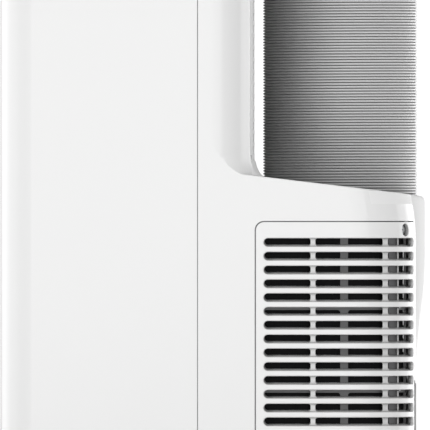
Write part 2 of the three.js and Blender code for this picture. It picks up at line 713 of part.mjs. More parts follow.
// a fan scroll: the passage's outline in its own plane, with its outlet upward, and the same grown by t
const spiral = (r0, r1, phi0, t, steps = 14) => {
  const out = [];
  const span = 2 * Math.PI - phi0;
  for (let i = 0; i <= steps; i++) {
    const a = (span * i) / steps;
    const r = r1 - ((r1 - r0) * a) / span + t;
    out.push([r * Math.cos(-a), r * Math.sin(-a)]);
  }
  return out; // clockwise, from +u round to the tongue
};
const bladeWheel = (axis, c, r, a, b, hubAt) => {
  // squirrel-cage wheel: a back disc with a hub, blades and a front ring
  const back = hubAt < (a + b) / 2 ? [a, a + 3] : [b - 3, b];
  const front = hubAt < (a + b) / 2 ? [b - 4, b] : [a, a + 4];
  let s = rod(axis, c, r - 1, back[0], back[1], 16).add(rod(axis, c, 12, hubAt < (a + b) / 2 ? a : b - 22, hubAt < (a + b) / 2 ? a + 22 : b, 10));
  s = s.add(rod(axis, c, r, front[0], front[1], 16).subtract(rod(axis, c, r - 10, front[0] - 5, front[1] + 5, 16)));
  for (let i = 0; i < 10; i++) {
    const th = (i * Math.PI) / 5;
    if (axis === "Y") {
      const h = new THREE.BoxGeometry(9, 1.6, b - a - 1);
      h.rotateZ(0.55).translate(r - 6.4, 0, 0).rotateZ(th).rotateX(-Math.PI / 2).translate(c[0], (a + b) / 2, c[1]);
      s = s.add(solid(h));
    } else {
      const h = new THREE.BoxGeometry(9, 1.6, b - a - 1);
      h.rotateZ(0.55).translate(r - 6.4, 0, 0).rotateZ(th).rotateY(Math.PI / 2).translate((a + b) / 2, c[0], c[1]);
      s = s.add(solid(h));
    }
  }
  return s;
};
{
  // evaporator blower: axis along X, discharging up and forward into the outlet
  const yc = -120;
  const zc = 585;
  const at = (pts) => pts.map(([u, v]) => [yc + u, zc + v]);
  const passage = (t) => {
    const sp = at(spiral(70, 98, Math.PI / 4, t));
    const tongue = sp[sp.length - 1];
    return [
      [-117.4 - (t > 0 ? 0 : 20), 786 + t],
      [-117.4 - (t > 0 ? 0 : 20), 694 - t],
      [tongue[0], 694 - t],
      tongue,
      ...sp.slice(0, -1).reverse(),
      [sp[0][0], 744],
      [sp[0][0] - 14, 774 + t],
      [sp[0][0] - 44, 786 + t],
    ];
  };
  // the tongue of the grown outline lies on the passage's other side
  const outer = (() => {
    const sp = at(spiral(70, 98, Math.PI / 4, 3));
    const inner = at(spiral(70, 98, Math.PI / 4, 0));
    const tx = inner[inner.length - 1][0] - 3;
    return [
      [-117.4, 789],
      [-117.4, 691],
      [tx, 691],
      [tx, sp[sp.length - 1][1]],
      ...sp.slice(0, -1).reverse(),
      [sp[0][0], 745],
      [sp[0][0] - 14, 777],
      [sp[0][0] - 44, 789],
    ];
  })();
  let s = prismX(outer, -130, 130).subtract(prismX(passage(0), -127, 127));
  s = s.subtract(rod("X", [yc, zc], 56, 120, 140, 20)).subtract(rod("X", [yc, zc], 7, -140, -120, 12));
  put("evap_scroll", s, M.duct);
  put("evap_wheel", bladeWheel("X", [yc, zc], 62, -118, 112, -118).subtract(rod("X", [yc, zc], 4.4, -130, -90, 10)), M.wheel);
  put("evap_motor", rod("X", [yc, zc], 40, -182, -130.5, 20).add(rod("X", [yc, zc], 4, -132, -98, 10)), M.steel);
}
{
  // condenser blower: axis along Y, discharging up into the hose socket
  const xc = -70;
  const zc = 250;
  const at = (pts) => pts.map(([u, v]) => [xc + u, zc + v]);
  const inner = at(spiral(68, 104, 0.87, 0));
  const grown = at(spiral(68, 104, 0.87, 3));
  const tin = inner[inner.length - 1];
  const outerPts = [[tin[0] - 3, 394], [tin[0] - 3, grown[grown.length - 1][1]], ...grown.slice(0, -1).reverse(), [grown[0][0], 394]];
  const innerPts = [[tin[0], 410], tin, ...inner.slice(0, -1).reverse(), [inner[0][0], 410]];
  let s = prismY(outerPts, 86, 172).subtract(prismY(innerPts, 89, 169));
  s = s.subtract(rod("Y", [xc, zc], 54, 80, 95, 20)).subtract(rod("Y", [xc, zc], 7, 160, 180, 12));
  put("cond_scroll", s, M.duct);
  put("cond_wheel", bladeWheel("Y", [xc, zc], 60, 93, 164, 164).subtract(rod("Y", [xc, zc], 4.4, 130, 180, 10)), M.wheel);
  put("cond_motor", rod("Y", [xc, zc], 36, 172.5, 194.6, 20).add(rod("Y", [xc, zc], 4, 146, 174, 10)), M.steel);
}
{
  // drain tray under the evaporator, which also parts the two air compartments
  const s = prismZ(upperPlan(6), 452, 470)
    .subtract(prismZ(upperPlan(8.5), 455, 480))
    .subtract(rod("Z", [-150, 3], 9, 440, 480, 12));
  put("drain_tray", s, M.duct);
  put("electrical_box", block(62, 190, -195, -132, 90, 330).subtract(block(65, 187, -192, -125, 93, 327)).add(block(80, 110, -193, -150, 100, 180)).add(block(120, 180, -193, -188, 120, 300)), M.base);
}
const pipe = (pts, r) => {
  const path = new THREE.CurvePath();
  const v = pts.map((p) => new THREE.Vector3(...p));
  const bend = 18;
  let from = v[0];
  for (let i = 1; i + 1 < v.length; i++) {
    const a = v[i].clone().sub(v[i - 1]).normalize();
    const b = v[i + 1].clone().sub(v[i]).normalize();
    const p = v[i].clone().sub(a.multiplyScalar(bend));
    const q = v[i].clone().add(b.multiplyScalar(bend));
    path.add(new THREE.LineCurve3(from, p));
    path.add(new THREE.QuadraticBezierCurve3(p, v[i], q));
    from = q;
  }
  path.add(new THREE.LineCurve3(from, v[v.length - 1]));
  const ring = [];
  for (let i = 0; i < 8; i++) ring.push(new THREE.Vector2(r * Math.cos((i * Math.PI) / 4), r * Math.sin((i * Math.PI) / 4)));
  return solid(new THREE.ExtrudeGeometry(new THREE.Shape(ring), { steps: 15, extrudePath: path, bevelEnabled: false }));
};
put("discharge_pipe", pipe([[-95, -115, 301.6], [-95, -115, 384], [-95, 27.4, 384]], 5), M.copper);
put("suction_pipe", pipe([[-150, 3, 483.4], [-150, 3, 424], [-8, -115, 424], [-8, -115, 262.6]], 6), M.copper);

export default model;
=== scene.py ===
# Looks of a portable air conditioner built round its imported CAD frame.
import json
import math
import bpy
import bmesh
import numpy as np
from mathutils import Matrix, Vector

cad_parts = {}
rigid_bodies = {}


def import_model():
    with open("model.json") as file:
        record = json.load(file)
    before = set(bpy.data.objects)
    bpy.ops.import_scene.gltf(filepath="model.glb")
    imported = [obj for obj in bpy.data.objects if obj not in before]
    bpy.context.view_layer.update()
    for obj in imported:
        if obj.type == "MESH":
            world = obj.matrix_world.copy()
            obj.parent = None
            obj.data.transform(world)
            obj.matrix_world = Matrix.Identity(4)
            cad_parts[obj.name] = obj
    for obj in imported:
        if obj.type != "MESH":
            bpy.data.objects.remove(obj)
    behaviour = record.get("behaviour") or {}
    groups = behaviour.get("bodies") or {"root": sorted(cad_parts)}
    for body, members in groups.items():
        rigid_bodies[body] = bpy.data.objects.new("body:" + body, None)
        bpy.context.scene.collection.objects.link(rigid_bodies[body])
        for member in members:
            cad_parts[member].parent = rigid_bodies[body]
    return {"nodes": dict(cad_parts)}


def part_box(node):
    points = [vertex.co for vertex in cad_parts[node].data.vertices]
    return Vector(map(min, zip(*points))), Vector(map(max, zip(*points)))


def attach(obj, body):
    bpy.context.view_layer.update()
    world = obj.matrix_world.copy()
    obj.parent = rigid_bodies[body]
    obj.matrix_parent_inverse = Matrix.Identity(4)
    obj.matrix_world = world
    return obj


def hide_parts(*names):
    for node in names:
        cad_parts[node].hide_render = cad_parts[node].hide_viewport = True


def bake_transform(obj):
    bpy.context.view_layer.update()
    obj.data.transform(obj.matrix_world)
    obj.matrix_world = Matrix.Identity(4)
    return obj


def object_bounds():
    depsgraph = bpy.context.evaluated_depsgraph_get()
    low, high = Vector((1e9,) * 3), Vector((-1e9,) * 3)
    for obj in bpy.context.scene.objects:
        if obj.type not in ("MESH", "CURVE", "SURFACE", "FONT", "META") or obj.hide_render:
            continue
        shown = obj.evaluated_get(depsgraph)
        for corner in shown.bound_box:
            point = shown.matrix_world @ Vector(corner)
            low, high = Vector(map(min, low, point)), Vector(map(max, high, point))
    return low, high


for o in list(bpy.data.objects):  # the start-up scene's own objects
    bpy.data.objects.remove(o, do_unlink=True)
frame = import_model()
CAD_LO, CAD_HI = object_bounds()
scene = bpy.context.scene
NODES = frame["nodes"]
MM = 0.001
rad = math.radians

# ------------------------------------------------------------------ dimensions, in millimetres, read off the CAD frame where they can be
hose_lo, hose_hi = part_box("exhaust_hose")
HOSE_Y = 0.5 * (hose_lo.y + hose_hi.y) / MM
HALF_W = CAD_HI.x / MM
FRONT_Y = CAD_LO.y / MM
casing_lo, casing_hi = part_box("rear_casing")
BULGE_R = casing_hi.y / MM - HOSE_Y
REAR_Y = 201.3
R_FRONT, R_REAR, R_UPPER = 32.0, 65.0, 39.0
UPPER_REAR_Y, BOW = 36.3, 4.5
WALL = 3.0
SEAM_Y, SEAM = -16.15, 0.5
CASING_Z0, CASING_Z1 = casing_lo.z / MM, casing_hi.z / MM
COVER_Z1, COVER_R = 858.6, 22.0
DECK_Z, DECK_Y, SLOPE = 467.56, 53.9, 0.1192
COVE_OUT, COVE_UP = 11.5, 25.0
HOSE_R, HOSE_Z0, HOSE_Z1 = 77.5, hose_lo.z / MM, hose_hi.z / MM
HOLE_R = 80.5
CX, CY = HALF_W - R_REAR, REAR_Y - R_REAR
PANEL_Y0, PANEL_PHI, PANEL_Z0, PANEL_Z1 = 41.7, 78.0, 81.0, 423.1
SLOT_PITCH, SLOT_H, SLOT_COUNT, SLOT_TOP = 13.714, 9.8, 23, 408.09
SLOT_Y0, SLOT_PHI = 48.6, 76.2
SCREW_PHI, SCREW_Z = 57.9, 415.1


def deck(y):
    return DECK_Z - SLOPE * (y - DECK_Y)


def inset(y, z):
    """the lower body's rear draws in towards the deck"""
    z = np.asarray(z, float)
    y = np.asarray(y, float)
    w = np.clip((y - 60) / (CY - 60), 0, 1)
    return 5.0 * (np.clip(z - 405, 0, 60) / 45) ** 2 * w


# ------------------------------------------------------------------ mesh helpers
def mesh(name, verts, faces):
    me = bpy.data.meshes.new(name)
    me.from_pydata([tuple(v) for v in (np.asarray(verts, float) * MM)], [], [tuple(int(i) for i in f) for f in faces])
    me.validate()
    me.update()
    ob = bpy.data.objects.new(name, me)
    scene.collection.objects.link(ob)
    return ob


def loft_data(rings, closed=True, caps=True):
    rings = [np.asarray(r, float) for r in rings]
    n = len(rings[0])
    v = np.concatenate(rings)
    f = []
    for k in range(len(rings) - 1):
        a, b = k * n, (k + 1) * n
        for i in range(n if closed else n - 1):
            j = (i + 1) % n
            f.append((a + i, a + j, b + j, b + i))
    if caps:
        f.append(tuple(reversed(range(n))))
        f.append(tuple(range((len(rings) - 1) * n, len(rings) * n)))
    return v, f


def join_data(parts):
    vs, fs, o = [], [], 0
    for v, f in parts:
        vs.append(np.asarray(v, float))
        fs += [tuple(i + o for i in q) for q in f]
        o += len(v)
    return np.concatenate(vs), fs


def loft(name, rings, **k):
    return mesh(name, *loft_data(rings, **k))


def box_data(x0, x1, y0, y1, z0, z1):
    r = lambda z: [(x0, y0, z), (x1, y0, z), (x1, y1, z), (x0, y1, z)]
    return loft_data([r(z0), r(z1)])


def block(x0, x1, y0, y1, z0, z1, name="b"):
    return mesh(name, *box_data(x0, x1, y0, y1, z0, z1))


def prism_data(pts, axis, a, b):
    """pts anticlockwise seen from +axis, as (x, y), (y, z) or (z, x) for Z, X, Y"""
    p = np.asarray(pts, float)
    out = []
    for t in (a, b):
        if axis == "Z":
            out.append(np.column_stack([p[:, 0], p[:, 1], np.full(len(p), t)]))
        elif axis == "X":
            out.append(np.column_stack([np.full(len(p), t), p[:, 0], p[:, 1]]))
        else:
            out.append(np.column_stack([p[:, 1], np.full(len(p), t), p[:, 0]]))
    return loft_data(out)


def prism(pts, axis, a, b, name="p"):
    return mesh(name, *prism_data(pts, axis, a, b))


def arc(cx, cy, r, a0, a1, n):
    t = np.radians(np.linspace(a0, a1, n + 1))
    return np.column_stack([cx + r * np.cos(t), cy + r * np.sin(t)])


def rrect(x0, x1, y0, y1, r, n=6):
    return np.concatenate([
        arc(x1 - r, y1 - r, r, 0, 90, n), arc(x0 + r, y1 - r, r, 90, 180, n),
        arc(x0 + r, y0 + r, r, 180, 270, n), arc(x1 - r, y0 + r, r, 270, 360, n)])


def xz(pts):
    """(x, z) outline to the (z, x) order prism wants along Y"""
    p = np.asarray(pts, float)
    return p[::-1, ::-1]


def frame_of(axis, c):
    """maps local (u, v, w) to the world, w along axis"""
    if axis == "Z":
        return lambda u, v, w: (c[0] + u, c[1] + v, w)
    if axis == "X":
        return lambda u, v, w: (w, c[0] + u, c[1] + v)
    return lambda u, v, w: (c[0] + v, w, c[1] + u)


def turned_data(profile, axis="Z", c=(0, 0), n=48, closed=True):
    """revolve a profile of (r, w) round axis; a closed profile makes a ring-shaped solid"""
    p = np.asarray(profile, float)
    m = len(p)
    fr = frame_of(axis, c)
    t = np.linspace(0, 2 * np.pi, n, endpoint=False)
    v = []
    for a in t:
        for r, w in p:
            v.append(fr(r * math.cos(a), r * math.sin(a), w))
    f = []
    for i in range(n):
        j = (i + 1) % n
        for k in range(m if closed else m - 1):
            l = (k + 1) % m
            if p[k][0] < 1e-6 and p[l][0] < 1e-6:
                continue
            f.append((i * m + k, j * m + k, j * m + l, i * m + l))
    return np.array(v), f


def clean(ob, dist=1e-7):
    bm = bmesh.new()
    bm.from_mesh(ob.data)
    bmesh.ops.remove_doubles(bm, verts=bm.verts, dist=dist)
    bmesh.ops.dissolve_degenerate(bm, dist=dist, edges=bm.edges)
    bmesh.ops.recalc_face_normals(bm, faces=bm.faces)
    bm.to_mesh(ob.data)
    bm.free()
    ob.data.update()
    return ob


def turned(name, profile, axis="Z", c=(0, 0), n=48, closed=True):
    """profile starts and ends on the axis when it isn't closed"""
    return clean(mesh(name, *turned_data(profile, axis, c, n, closed)))


def settle(ob):
    """applies every modifier"""
    dg = bpy.context.evaluated_depsgraph_get()
    me = bpy.data.meshes.new_from_object(ob.evaluated_get(dg))
    ob.modifiers.clear()
    old = ob.data
    ob.data = me
    bpy.data.meshes.remove(old)
    return ob


def boolean(a, b, op="DIFFERENCE", solver="MANIFOLD"):
    m = a.modifiers.new("b", "BOOLEAN")
    m.operation = op
    m.object = b
    m.solver = solver
    dg = bpy.context.evaluated_depsgraph_get()
    me = bpy.data.meshes.new_from_object(a.evaluated_get(dg))
    if len(me.polygons) == 0 and solver == "MANIFOLD":
        print("boolean: exact solver used for", a.name, b.name)
        a.modifiers.clear()
        bpy.data.meshes.remove(me)
        return boolean(a, b, op, "EXACT")
    a.modifiers.clear()
    old = a.data
    a.data = me
    bpy.data.meshes.remove(old)
    data = b.data
    bpy.data.objects.remove(b)
    bpy.data.meshes.remove(data)
    return a


def minus(a, *bs):
    for b in bs:
        boolean(a, b)
    return a


def plus(a, *bs):
    for b in bs:
        boolean(a, b, "UNION")
    return a


def both(a, b):
    return boolean(a, b, "INTERSECT")


def copy(ob, name):
    o = bpy.data.objects.new(name, ob.data.copy())
    scene.collection.objects.link(o)
    return o


def mirror(ob, name):
    o = copy(ob, name)
    bm = bmesh.new()
    bm.from_mesh(o.data)
    for v in bm.verts:
        v.co.x = -v.co.x
    bmesh.ops.reverse_faces(bm, faces=bm.faces)
    bm.to_mesh(o.data)
    bm.free()
    o.data.update()
    return o


def soften(ob, width=0.6, segments=2, angle=35, sharp=38, weighted=True):
    """small rounded edges, then smooth shading that stays crisp at the rest"""
    if width:
        m = ob.modifiers.new("edge", "BEVEL")
        m.limit_method = "ANGLE"
        m.angle_limit = rad(angle)
        m.width = width * MM
        m.segments = segments
        m.use_clamp_overlap = True
        m.miter_outer = "MITER_ARC"
        settle(ob)
    me = ob.data
    me.shade_smooth()
    me.set_sharp_from_angle(angle=rad(sharp))
    if weighted:
        w = ob.modifiers.new("normals", "WEIGHTED_NORMAL")
        w.keep_sharp = True
        w.weight = 50
    return ob


def shape_node(node, width=0.5, segments=2, angle=35, sharp=38):
    """a CAD node keeps its mesh and gets rounded edges and smooth shading from modifiers"""
    ob = NODES[node]
    m = ob.modifiers.new("edge", "BEVEL")
    m.limit_method = "ANGLE"
    m.angle_limit = rad(angle)
    m.width = width * MM
    m.segments = segments
    m.use_clamp_overlap = True
    for p in ob.data.polygons:
        p.use_smooth = True
    ob.data.set_sharp_from_angle(angle=rad(sharp))
    w = ob.modifiers.new("normals", "WEIGHTED_NORMAL")
    w.keep_sharp = True
    return ob


# ------------------------------------------------------------------ materials
def nodes_of(name):
    m = bpy.data.materials.new(name)
    m.use_nodes = True
    t = m.node_tree
    b = t.nodes["Principled BSDF"]
    return m, t, b


def link(t, a, b):
    t.links.new(a, b)


def noise(t, coords, scale, detail=3.0, rough=0.55):
    n = t.nodes.new("ShaderNodeTexNoise")
    n.inputs["Scale"].default_value = scale
    n.inputs["Detail"].default_value = detail
    n.inputs["Roughness"].default_value = rough
    link(t, coords, n.inputs["Vector"])
    return n.outputs["Fac"]


def ramp(t, fac, stops):
    r = t.nodes.new("ShaderNodeValToRGB")
    e = r.color_ramp.elements
    while len(e) < len(stops):
        e.new(0.5)
    for i, (p, c) in enumerate(stops):
        e[i].position = p
        e[i].color = (*c, 1.0) if isinstance(c, (tuple, list)) else (c, c, c, 1.0)
    link(t, fac, r.inputs["Fac"])
    return r.outputs["Color"]


def remap(t, v, a, b, c, d):
    n = t.nodes.new("ShaderNodeMapRange")
    for k, x in zip(("From Min", "From Max", "To Min", "To Max"), (a, b, c, d)):
        n.inputs[k].default_value = x
    link(t, v, n.inputs["Value"])
    return n.outputs["Result"]


def mixed(t, fac, a, b, mode="MIX"):
    n = t.nodes.new("ShaderNodeMix")
    n.data_type = "RGBA"
    n.blend_type = mode
    for k, v in (("Factor", fac), ("A", a), ("B", b)):
        s = [i for i in n.inputs if i.name == k and (i.type == "RGBA" or k == "Factor" and i.type == "VALUE")][0]
        if isinstance(v, (int, float)):
            s.default_value = v
        elif isinstance(v, tuple):
            s.default_value = (*v, 1.0)
        else:
            link(t, v, s)
    return [o for o in n.outputs if o.type == "RGBA"][0]


def bump(t, b, height, strength, distance):
    n = t.nodes.new("ShaderNodeBump")
    n.inputs["Strength"].default_value = strength
    n.inputs["Distance"].default_value = distance
    link(t, height, n.inputs["Height"])
    link(t, n.outputs["Normal"], b.inputs["Normal"])
    return n


def moulded(name, colour, rough=0.4, spread=0.04, tone=0.012, grain=2200.0, depth=0.00001, coat=0.0, coat_rough=0.04,
            specular=0.5, scuff=0.0, strength=0.25, cavity_shade=None):
    """moulded plastic: a faint flow-mark tone, a fine eroded grain and, if wanted, a hard gloss coat and painted shade
    in recesses
    """
    m, t, b = nodes_of(name)
    co = t.nodes.new("ShaderNodeTexCoord").outputs["Object"]
    flow = noise(t, co, 6.0, 2.0)
    c0 = tuple(max(0.0, c * (1 - tone)) for c in colour)
    c1 = tuple(min(1.0, c * (1 + tone)) for c in colour)
    col = ramp(t, flow, [(0.3, c0), (0.7, c1)])
    if scuff:
        marks = noise(t, co, 34.0, 6.0, 0.7)
        fac = remap(t, marks, 0.62, 0.8, 0.0, scuff)
        col = mixed(t, fac, col, tuple(min(1.0, c * 1.35 + 0.02) for c in colour))
    if cavity_shade:  # painted shade: recesses darken by ambient occlusion; reach in metres, tone at the bottom
        ao = t.nodes.new("ShaderNodeAmbientOcclusion")
        ao.samples = 8
        ao.inputs["Distance"].default_value = cavity_shade[0]
        shade_tone = remap(t, ao.outputs["AO"], 0.2, 1.0, cavity_shade[1], 1.0)
        col = mixed(t, 1.0, col, shade_tone, "MULTIPLY")
    link(t, col, b.inputs["Base Color"])
    fine = noise(t, co, grain, 2.0)
    link(t, remap(t, fine, 0.3, 0.7, rough - spread, rough + spread), b.inputs["Roughness"])
    if depth:
        bump(t, b, fine, strength, depth)
    b.inputs["Specular IOR Level"].default_value = specular
    if coat:
        b.inputs["Coat Weight"].default_value = coat
        b.inputs["Coat Roughness"].default_value = coat_rough
        b.inputs["Coat IOR"].default_value = 1.5
    return m


def metal(name, colour, rough=0.3, grain=(900.0, 900.0, 12.0), metallic=1.0, depth=0.00001, tone=0.06):
    """drawn or rolled metal: streaks along one direction"""
    m, t, b = nodes_of(name)
    co = t.nodes.new("ShaderNodeTexCoord").outputs["Object"]
    mp = t.nodes.new("ShaderNodeMapping")
    mp.inputs["Scale"].default_value = grain
    link(t, co, mp.inputs["Vector"])
    s = noise(t, mp.outputs["Vector"], 1.0, 4.0)
    c0 = tuple(c * (1 - tone) for c in colour)
    c1 = tuple(min(1.0, c * (1 + tone)) for c in colour)
    link(t, ramp(t, s, [(0.25, c0), (0.75, c1)]), b.inputs["Base Color"])
    link(t, remap(t, s, 0.2, 0.8, rough - 0.07, rough + 0.08), b.inputs["Roughness"])
    bump(t, b, s, 0.3, depth)
    b.inputs["Metallic"].default_value = metallic
    return m


def finned(name, colour, pitch, axis, rough=0.4):
    """a stack of thin fins: painted shade in the gaps at a fixed pitch along one axis, with random darker patches"""
    m, t, b = nodes_of(name)
    co = t.nodes.new("ShaderNodeTexCoord").outputs["Object"]
    w = t.nodes.new("ShaderNodeTexWave")
    w.wave_type = "BANDS"
    w.bands_direction = axis
    w.inputs["Scale"].default_value = 0.314159 / pitch
    w.inputs["Distortion"].default_value = 0.0
    link(t, co, w.inputs["Vector"])
    blotch = noise(t, co, 60.0, 4.0)
    # painted shade: the gaps between the fins are dark
    fins = ramp(t, w.outputs["Fac"], [(0.35, tuple(c * 0.08 for c in colour)), (0.6, colour)])
    col = mixed(t, remap(t, blotch, 0.55, 0.75, 0.0, 0.35), fins, tuple(c * 0.5 for c in colour))
    link(t, col, b.inputs["Base Color"])
    bump(t, b, w.outputs["Fac"], 0.8, 0.0006)
    b.inputs["Metallic"].default_value = 0.85
    link(t, remap(t, blotch, 0.3, 0.7, rough - 0.08, rough + 0.1), b.inputs["Roughness"])
    return m


# the white plastics below darken in their recesses by ambient occlusion: painted shade, strongest inside the grille's
# slots
M_SHELL = moulded("shell_white", (0.868, 0.868, 0.866), rough=0.5, tone=0.003, depth=0.0, coat=1.0, coat_rough=0.03, specular=0.0,
                  cavity_shade=(0.016, 0.35))
M_GRILLE = moulded("grille_white", (0.868, 0.868, 0.866), rough=0.5, tone=0.003, depth=0.0, coat=1.0, coat_rough=0.05, specular=0.0,
                   cavity_shade=(0.010, 0.05))
M_MATT = moulded("shell_matt", (0.868, 0.868, 0.866), rough=0.62, tone=0.003, grain=1500.0, depth=0.00002, specular=0.35, cavity_shade=(0.016, 0.35))
M_BASE = moulded("base_grey", (0.70, 0.70, 0.69), rough=0.55, tone=0.01, grain=1500.0, depth=0.00003)
M_PANEL = moulded("fascia_dark", (0.024, 0.025, 0.027), rough=0.22, tone=0.04, depth=0.0, coat=0.6)
M_LENS = moulded("lens_smoked", (0.006, 0.007, 0.008), rough=0.06, spread=0.01, tone=0.1, depth=0.0, coat=1.0, coat_rough=0.01)
M_BUTTON = moulded("key_cap", (0.78, 0.78, 0.77), rough=0.42, tone=0.006, depth=0.00001)
M_BOARD = moulded("board_green", (0.015, 0.10, 0.04), rough=0.4, tone=0.12, depth=0.0)
M_FILTER = moulded("filter_frame", (0.19, 0.19, 0.193), rough=0.6, tone=0.05, depth=0.00002, specular=0.25)
M_ADAPTER = moulded("duct_fitting", (0.72, 0.72, 0.715), rough=0.45, tone=0.01, depth=0.00002)
M_RUBBER = moulded("rubber_black", (0.012, 0.012, 0.012), rough=0.72, tone=0.12, grain=1600.0, depth=0.00006, scuff=0.25)
M_SEAL = moulded("seal_grey", (0.23, 0.23, 0.235), rough=0.7, tone=0.06, grain=1600.0, depth=0.00005, specular=0.3)
M_FORK = moulded("nylon_dark", (0.035, 0.036, 0.038), rough=0.5, tone=0.06, grain=1800.0, depth=0.00003, scuff=0.12)
M_DUCT = moulded("duct_plastic", (0.62, 0.62, 0.61), rough=0.6, tone=0.015, depth=0.00002)
M_FAN = moulded("fan_plastic", (0.024, 0.025, 0.026), rough=0.5, tone=0.08, depth=0.00002)
M_STEEL = metal("zinc_steel", (0.50, 0.51, 0.52), rough=0.34)
M_COPPER = metal("copper_tube", (0.72, 0.34, 0.20), rough=0.3, tone=0.1)
M_FINS_Z = finned("fins_upright", (0.60, 0.62, 0.64), 0.0022, "X")
M_ENAMEL = moulded("black_enamel", (0.010, 0.010, 0.011), rough=0.3, tone=0.15, grain=700.0, depth=0.00004, coat=0.5, coat_rough=0.12, scuff=0.08)


def net_material(name, thread, gap_shade, pitch, u, v, rough=0.7):
    """a woven net: two sets of threads at one pitch over openings painted dark as shade, slightly uneven"""
    m, t, b = nodes_of(name)
    co = t.nodes.new("ShaderNodeTexCoord").outputs["Object"]
    waves = []
    for axis in (u, v):
        w = t.nodes.new("ShaderNodeTexWave")
        w.wave_type = "BANDS"
        w.bands_direction = axis
        w.inputs["Scale"].default_value = 0.314159 / pitch
        w.inputs["Distortion"].default_value = 0.0
        link(t, co, w.inputs["Vector"])
        waves.append(w.outputs["Fac"])
    top = t.nodes.new("ShaderNodeMath")
    top.operation = "MAXIMUM"
    link(t, waves[0], top.inputs[0])
    link(t, waves[1], top.inputs[1])
    dust = noise(t, co, 26.0, 5.0, 0.65)
    # painted shade: the openings between the threads are dark
    col = ramp(t, top.outputs[0], [(0.55, gap_shade), (0.8, thread)])
    col = mixed(t, remap(t, dust, 0.5, 0.75, 0.0, 0.35), col, tuple(min(1.0, c * 1.6 + 0.004) for c in thread))
    link(t, col, b.inputs["Base Color"])
    bump(t, b, top.outputs[0], 0.6, 0.0003)
    link(t, remap(t, dust, 0.3, 0.7, rough - 0.08, rough + 0.12), b.inputs["Roughness"])
    b.inputs["Specular IOR Level"].default_value = 0.12
    return m


def hose_material():
    m, t, b = nodes_of("hose_grey")
    co = t.nodes.new("ShaderNodeTexCoord").outputs["Object"]
    flow = noise(t, co, 14.0, 3.0)
    fine = noise(t, co, 1400.0, 2.0)
    col = ramp(t, flow, [(0.3, (0.690, 0.690, 0.692)), (0.7, (0.715, 0.715, 0.717))])
    # painted shade: the base colour darkens by ambient occlusion, most on the hose's side next to the bay's wall
    ao = t.nodes.new("ShaderNodeAmbientOcclusion")
    ao.samples = 8
    ao.inputs["Distance"].default_value = 0.10
    # painted shade: the grooves between the ribs are darker
    groove_shade = t.nodes.new("ShaderNodeAttribute")
    groove_shade.attribute_name = "groove_shade"
    col = mixed(t, 1.0, col, remap(t, groove_shade.outputs["Fac"], 0.0, 1.0, 1.0, 0.80), "MULTIPLY")
    link(t, mixed(t, 1.0, col, remap(t, ao.outputs["AO"], 0.26, 0.97, 0.42, 1.0), "MULTIPLY"), b.inputs["Base Color"])
    b.inputs["Specular IOR Level"].default_value = 0.35
    link(t, remap(t, fine, 0.3, 0.7, 0.26, 0.36), b.inputs["Roughness"])
    bump(t, b, fine, 0.2, 0.00002)
    b.inputs["Sheen Weight"].default_value = 0.3
    b.inputs["Sheen Roughness"].default_value = 0.6
    return m


M_HOSE = hose_material()
M_NET = net_material("filter_net", (0.011, 0.011, 0.012), (0.005, 0.005, 0.0055), 0.0016, "Y", "Z")
M_UPPER_NET = net_material("filter_net_upper", (0.10, 0.10, 0.103), (0.028, 0.028, 0.03), 0.0018, "X", "Z")

PIECES = []


def piece(ob, name, material, body, slot, *replaced):
    ob.name = name
    ob.data.name = name
    ob.data.materials.clear()
    ob.data.materials.append(material)
    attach(ob, body)
    if replaced:
        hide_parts(*replaced)
    PIECES.append(ob)
    return ob


def paint(node, material):
    ob = NODES[node]
    ob.data.materials.clear()
    ob.data.materials.append(material)
    return ob


# ------------------------------------------------------------------ camera first
cam_data = bpy.data.cameras.new("camera")
cam = bpy.data.objects.new("camera", cam_data)
scene.collection.objects.link(cam)
HALF_ANGLE = 0.011
cam_data.type = "PERSP"
cam_data.sensor_fit = "HORIZONTAL"
cam_data.angle = 2 * HALF_ANGLE
cam_data.clip_start, cam_data.clip_end = 0.1, 200.0
cam.location = (0.12 + 0.215 / math.tan(HALF_ANGLE), 0.0012, 0.430)
cam.rotation_mode = "QUATERNION"
cam.rotation_quaternion = Vector((-1, 0, 0)).to_track_quat("-Z", "Y")
scene.camera = cam


# ------------------------------------------------------------------ plan outlines
def front_arcs(off, n=14):
    r = max(R_FRONT - off, 0.6)
    c = HALF_W - R_FRONT
    cy = FRONT_Y + R_FRONT
    return np.concatenate([arc(-c, cy, r, 180, 270, n), arc(c, cy, r, 270, 360, n)])


def lower_ring(z, off=0.0, n=30):
    r = R_REAR - off
    p = np.concatenate([front_arcs(off), arc(CX, CY, r, 0, 90, n), arc(-CX, CY, r, 90, 180, n)])
    y = p[:, 1] - inset(p[:, 1], np.full(len(p), z))
    return np.column_stack([p[:, 0], y, np.full(len(p), z)])


# the upper rear corner turns in three steps: a round, a long shallow curve from TURN_1 degrees, a tight round from TURN_2 into the back wall
TURN_1, TURN_2, R_LONG, R_TIGHT = 49.3, 57.0, 101.0, 8.0
C1 = np.array([HALF_W - R_UPPER, UPPER_REAR_Y - R_UPPER])
C2 = C1 - (R_LONG - R_UPPER) * np.array([math.cos(rad(TURN_1)), math.sin(rad(TURN_1))])
WALL_X = C2[0] + (R_LONG - R_TIGHT) * math.cos(rad(TURN_2))


def bow(x):
    return UPPER_REAR_Y + BOW * (1 - (np.abs(np.asarray(x, float)) / WALL_X) ** 8)


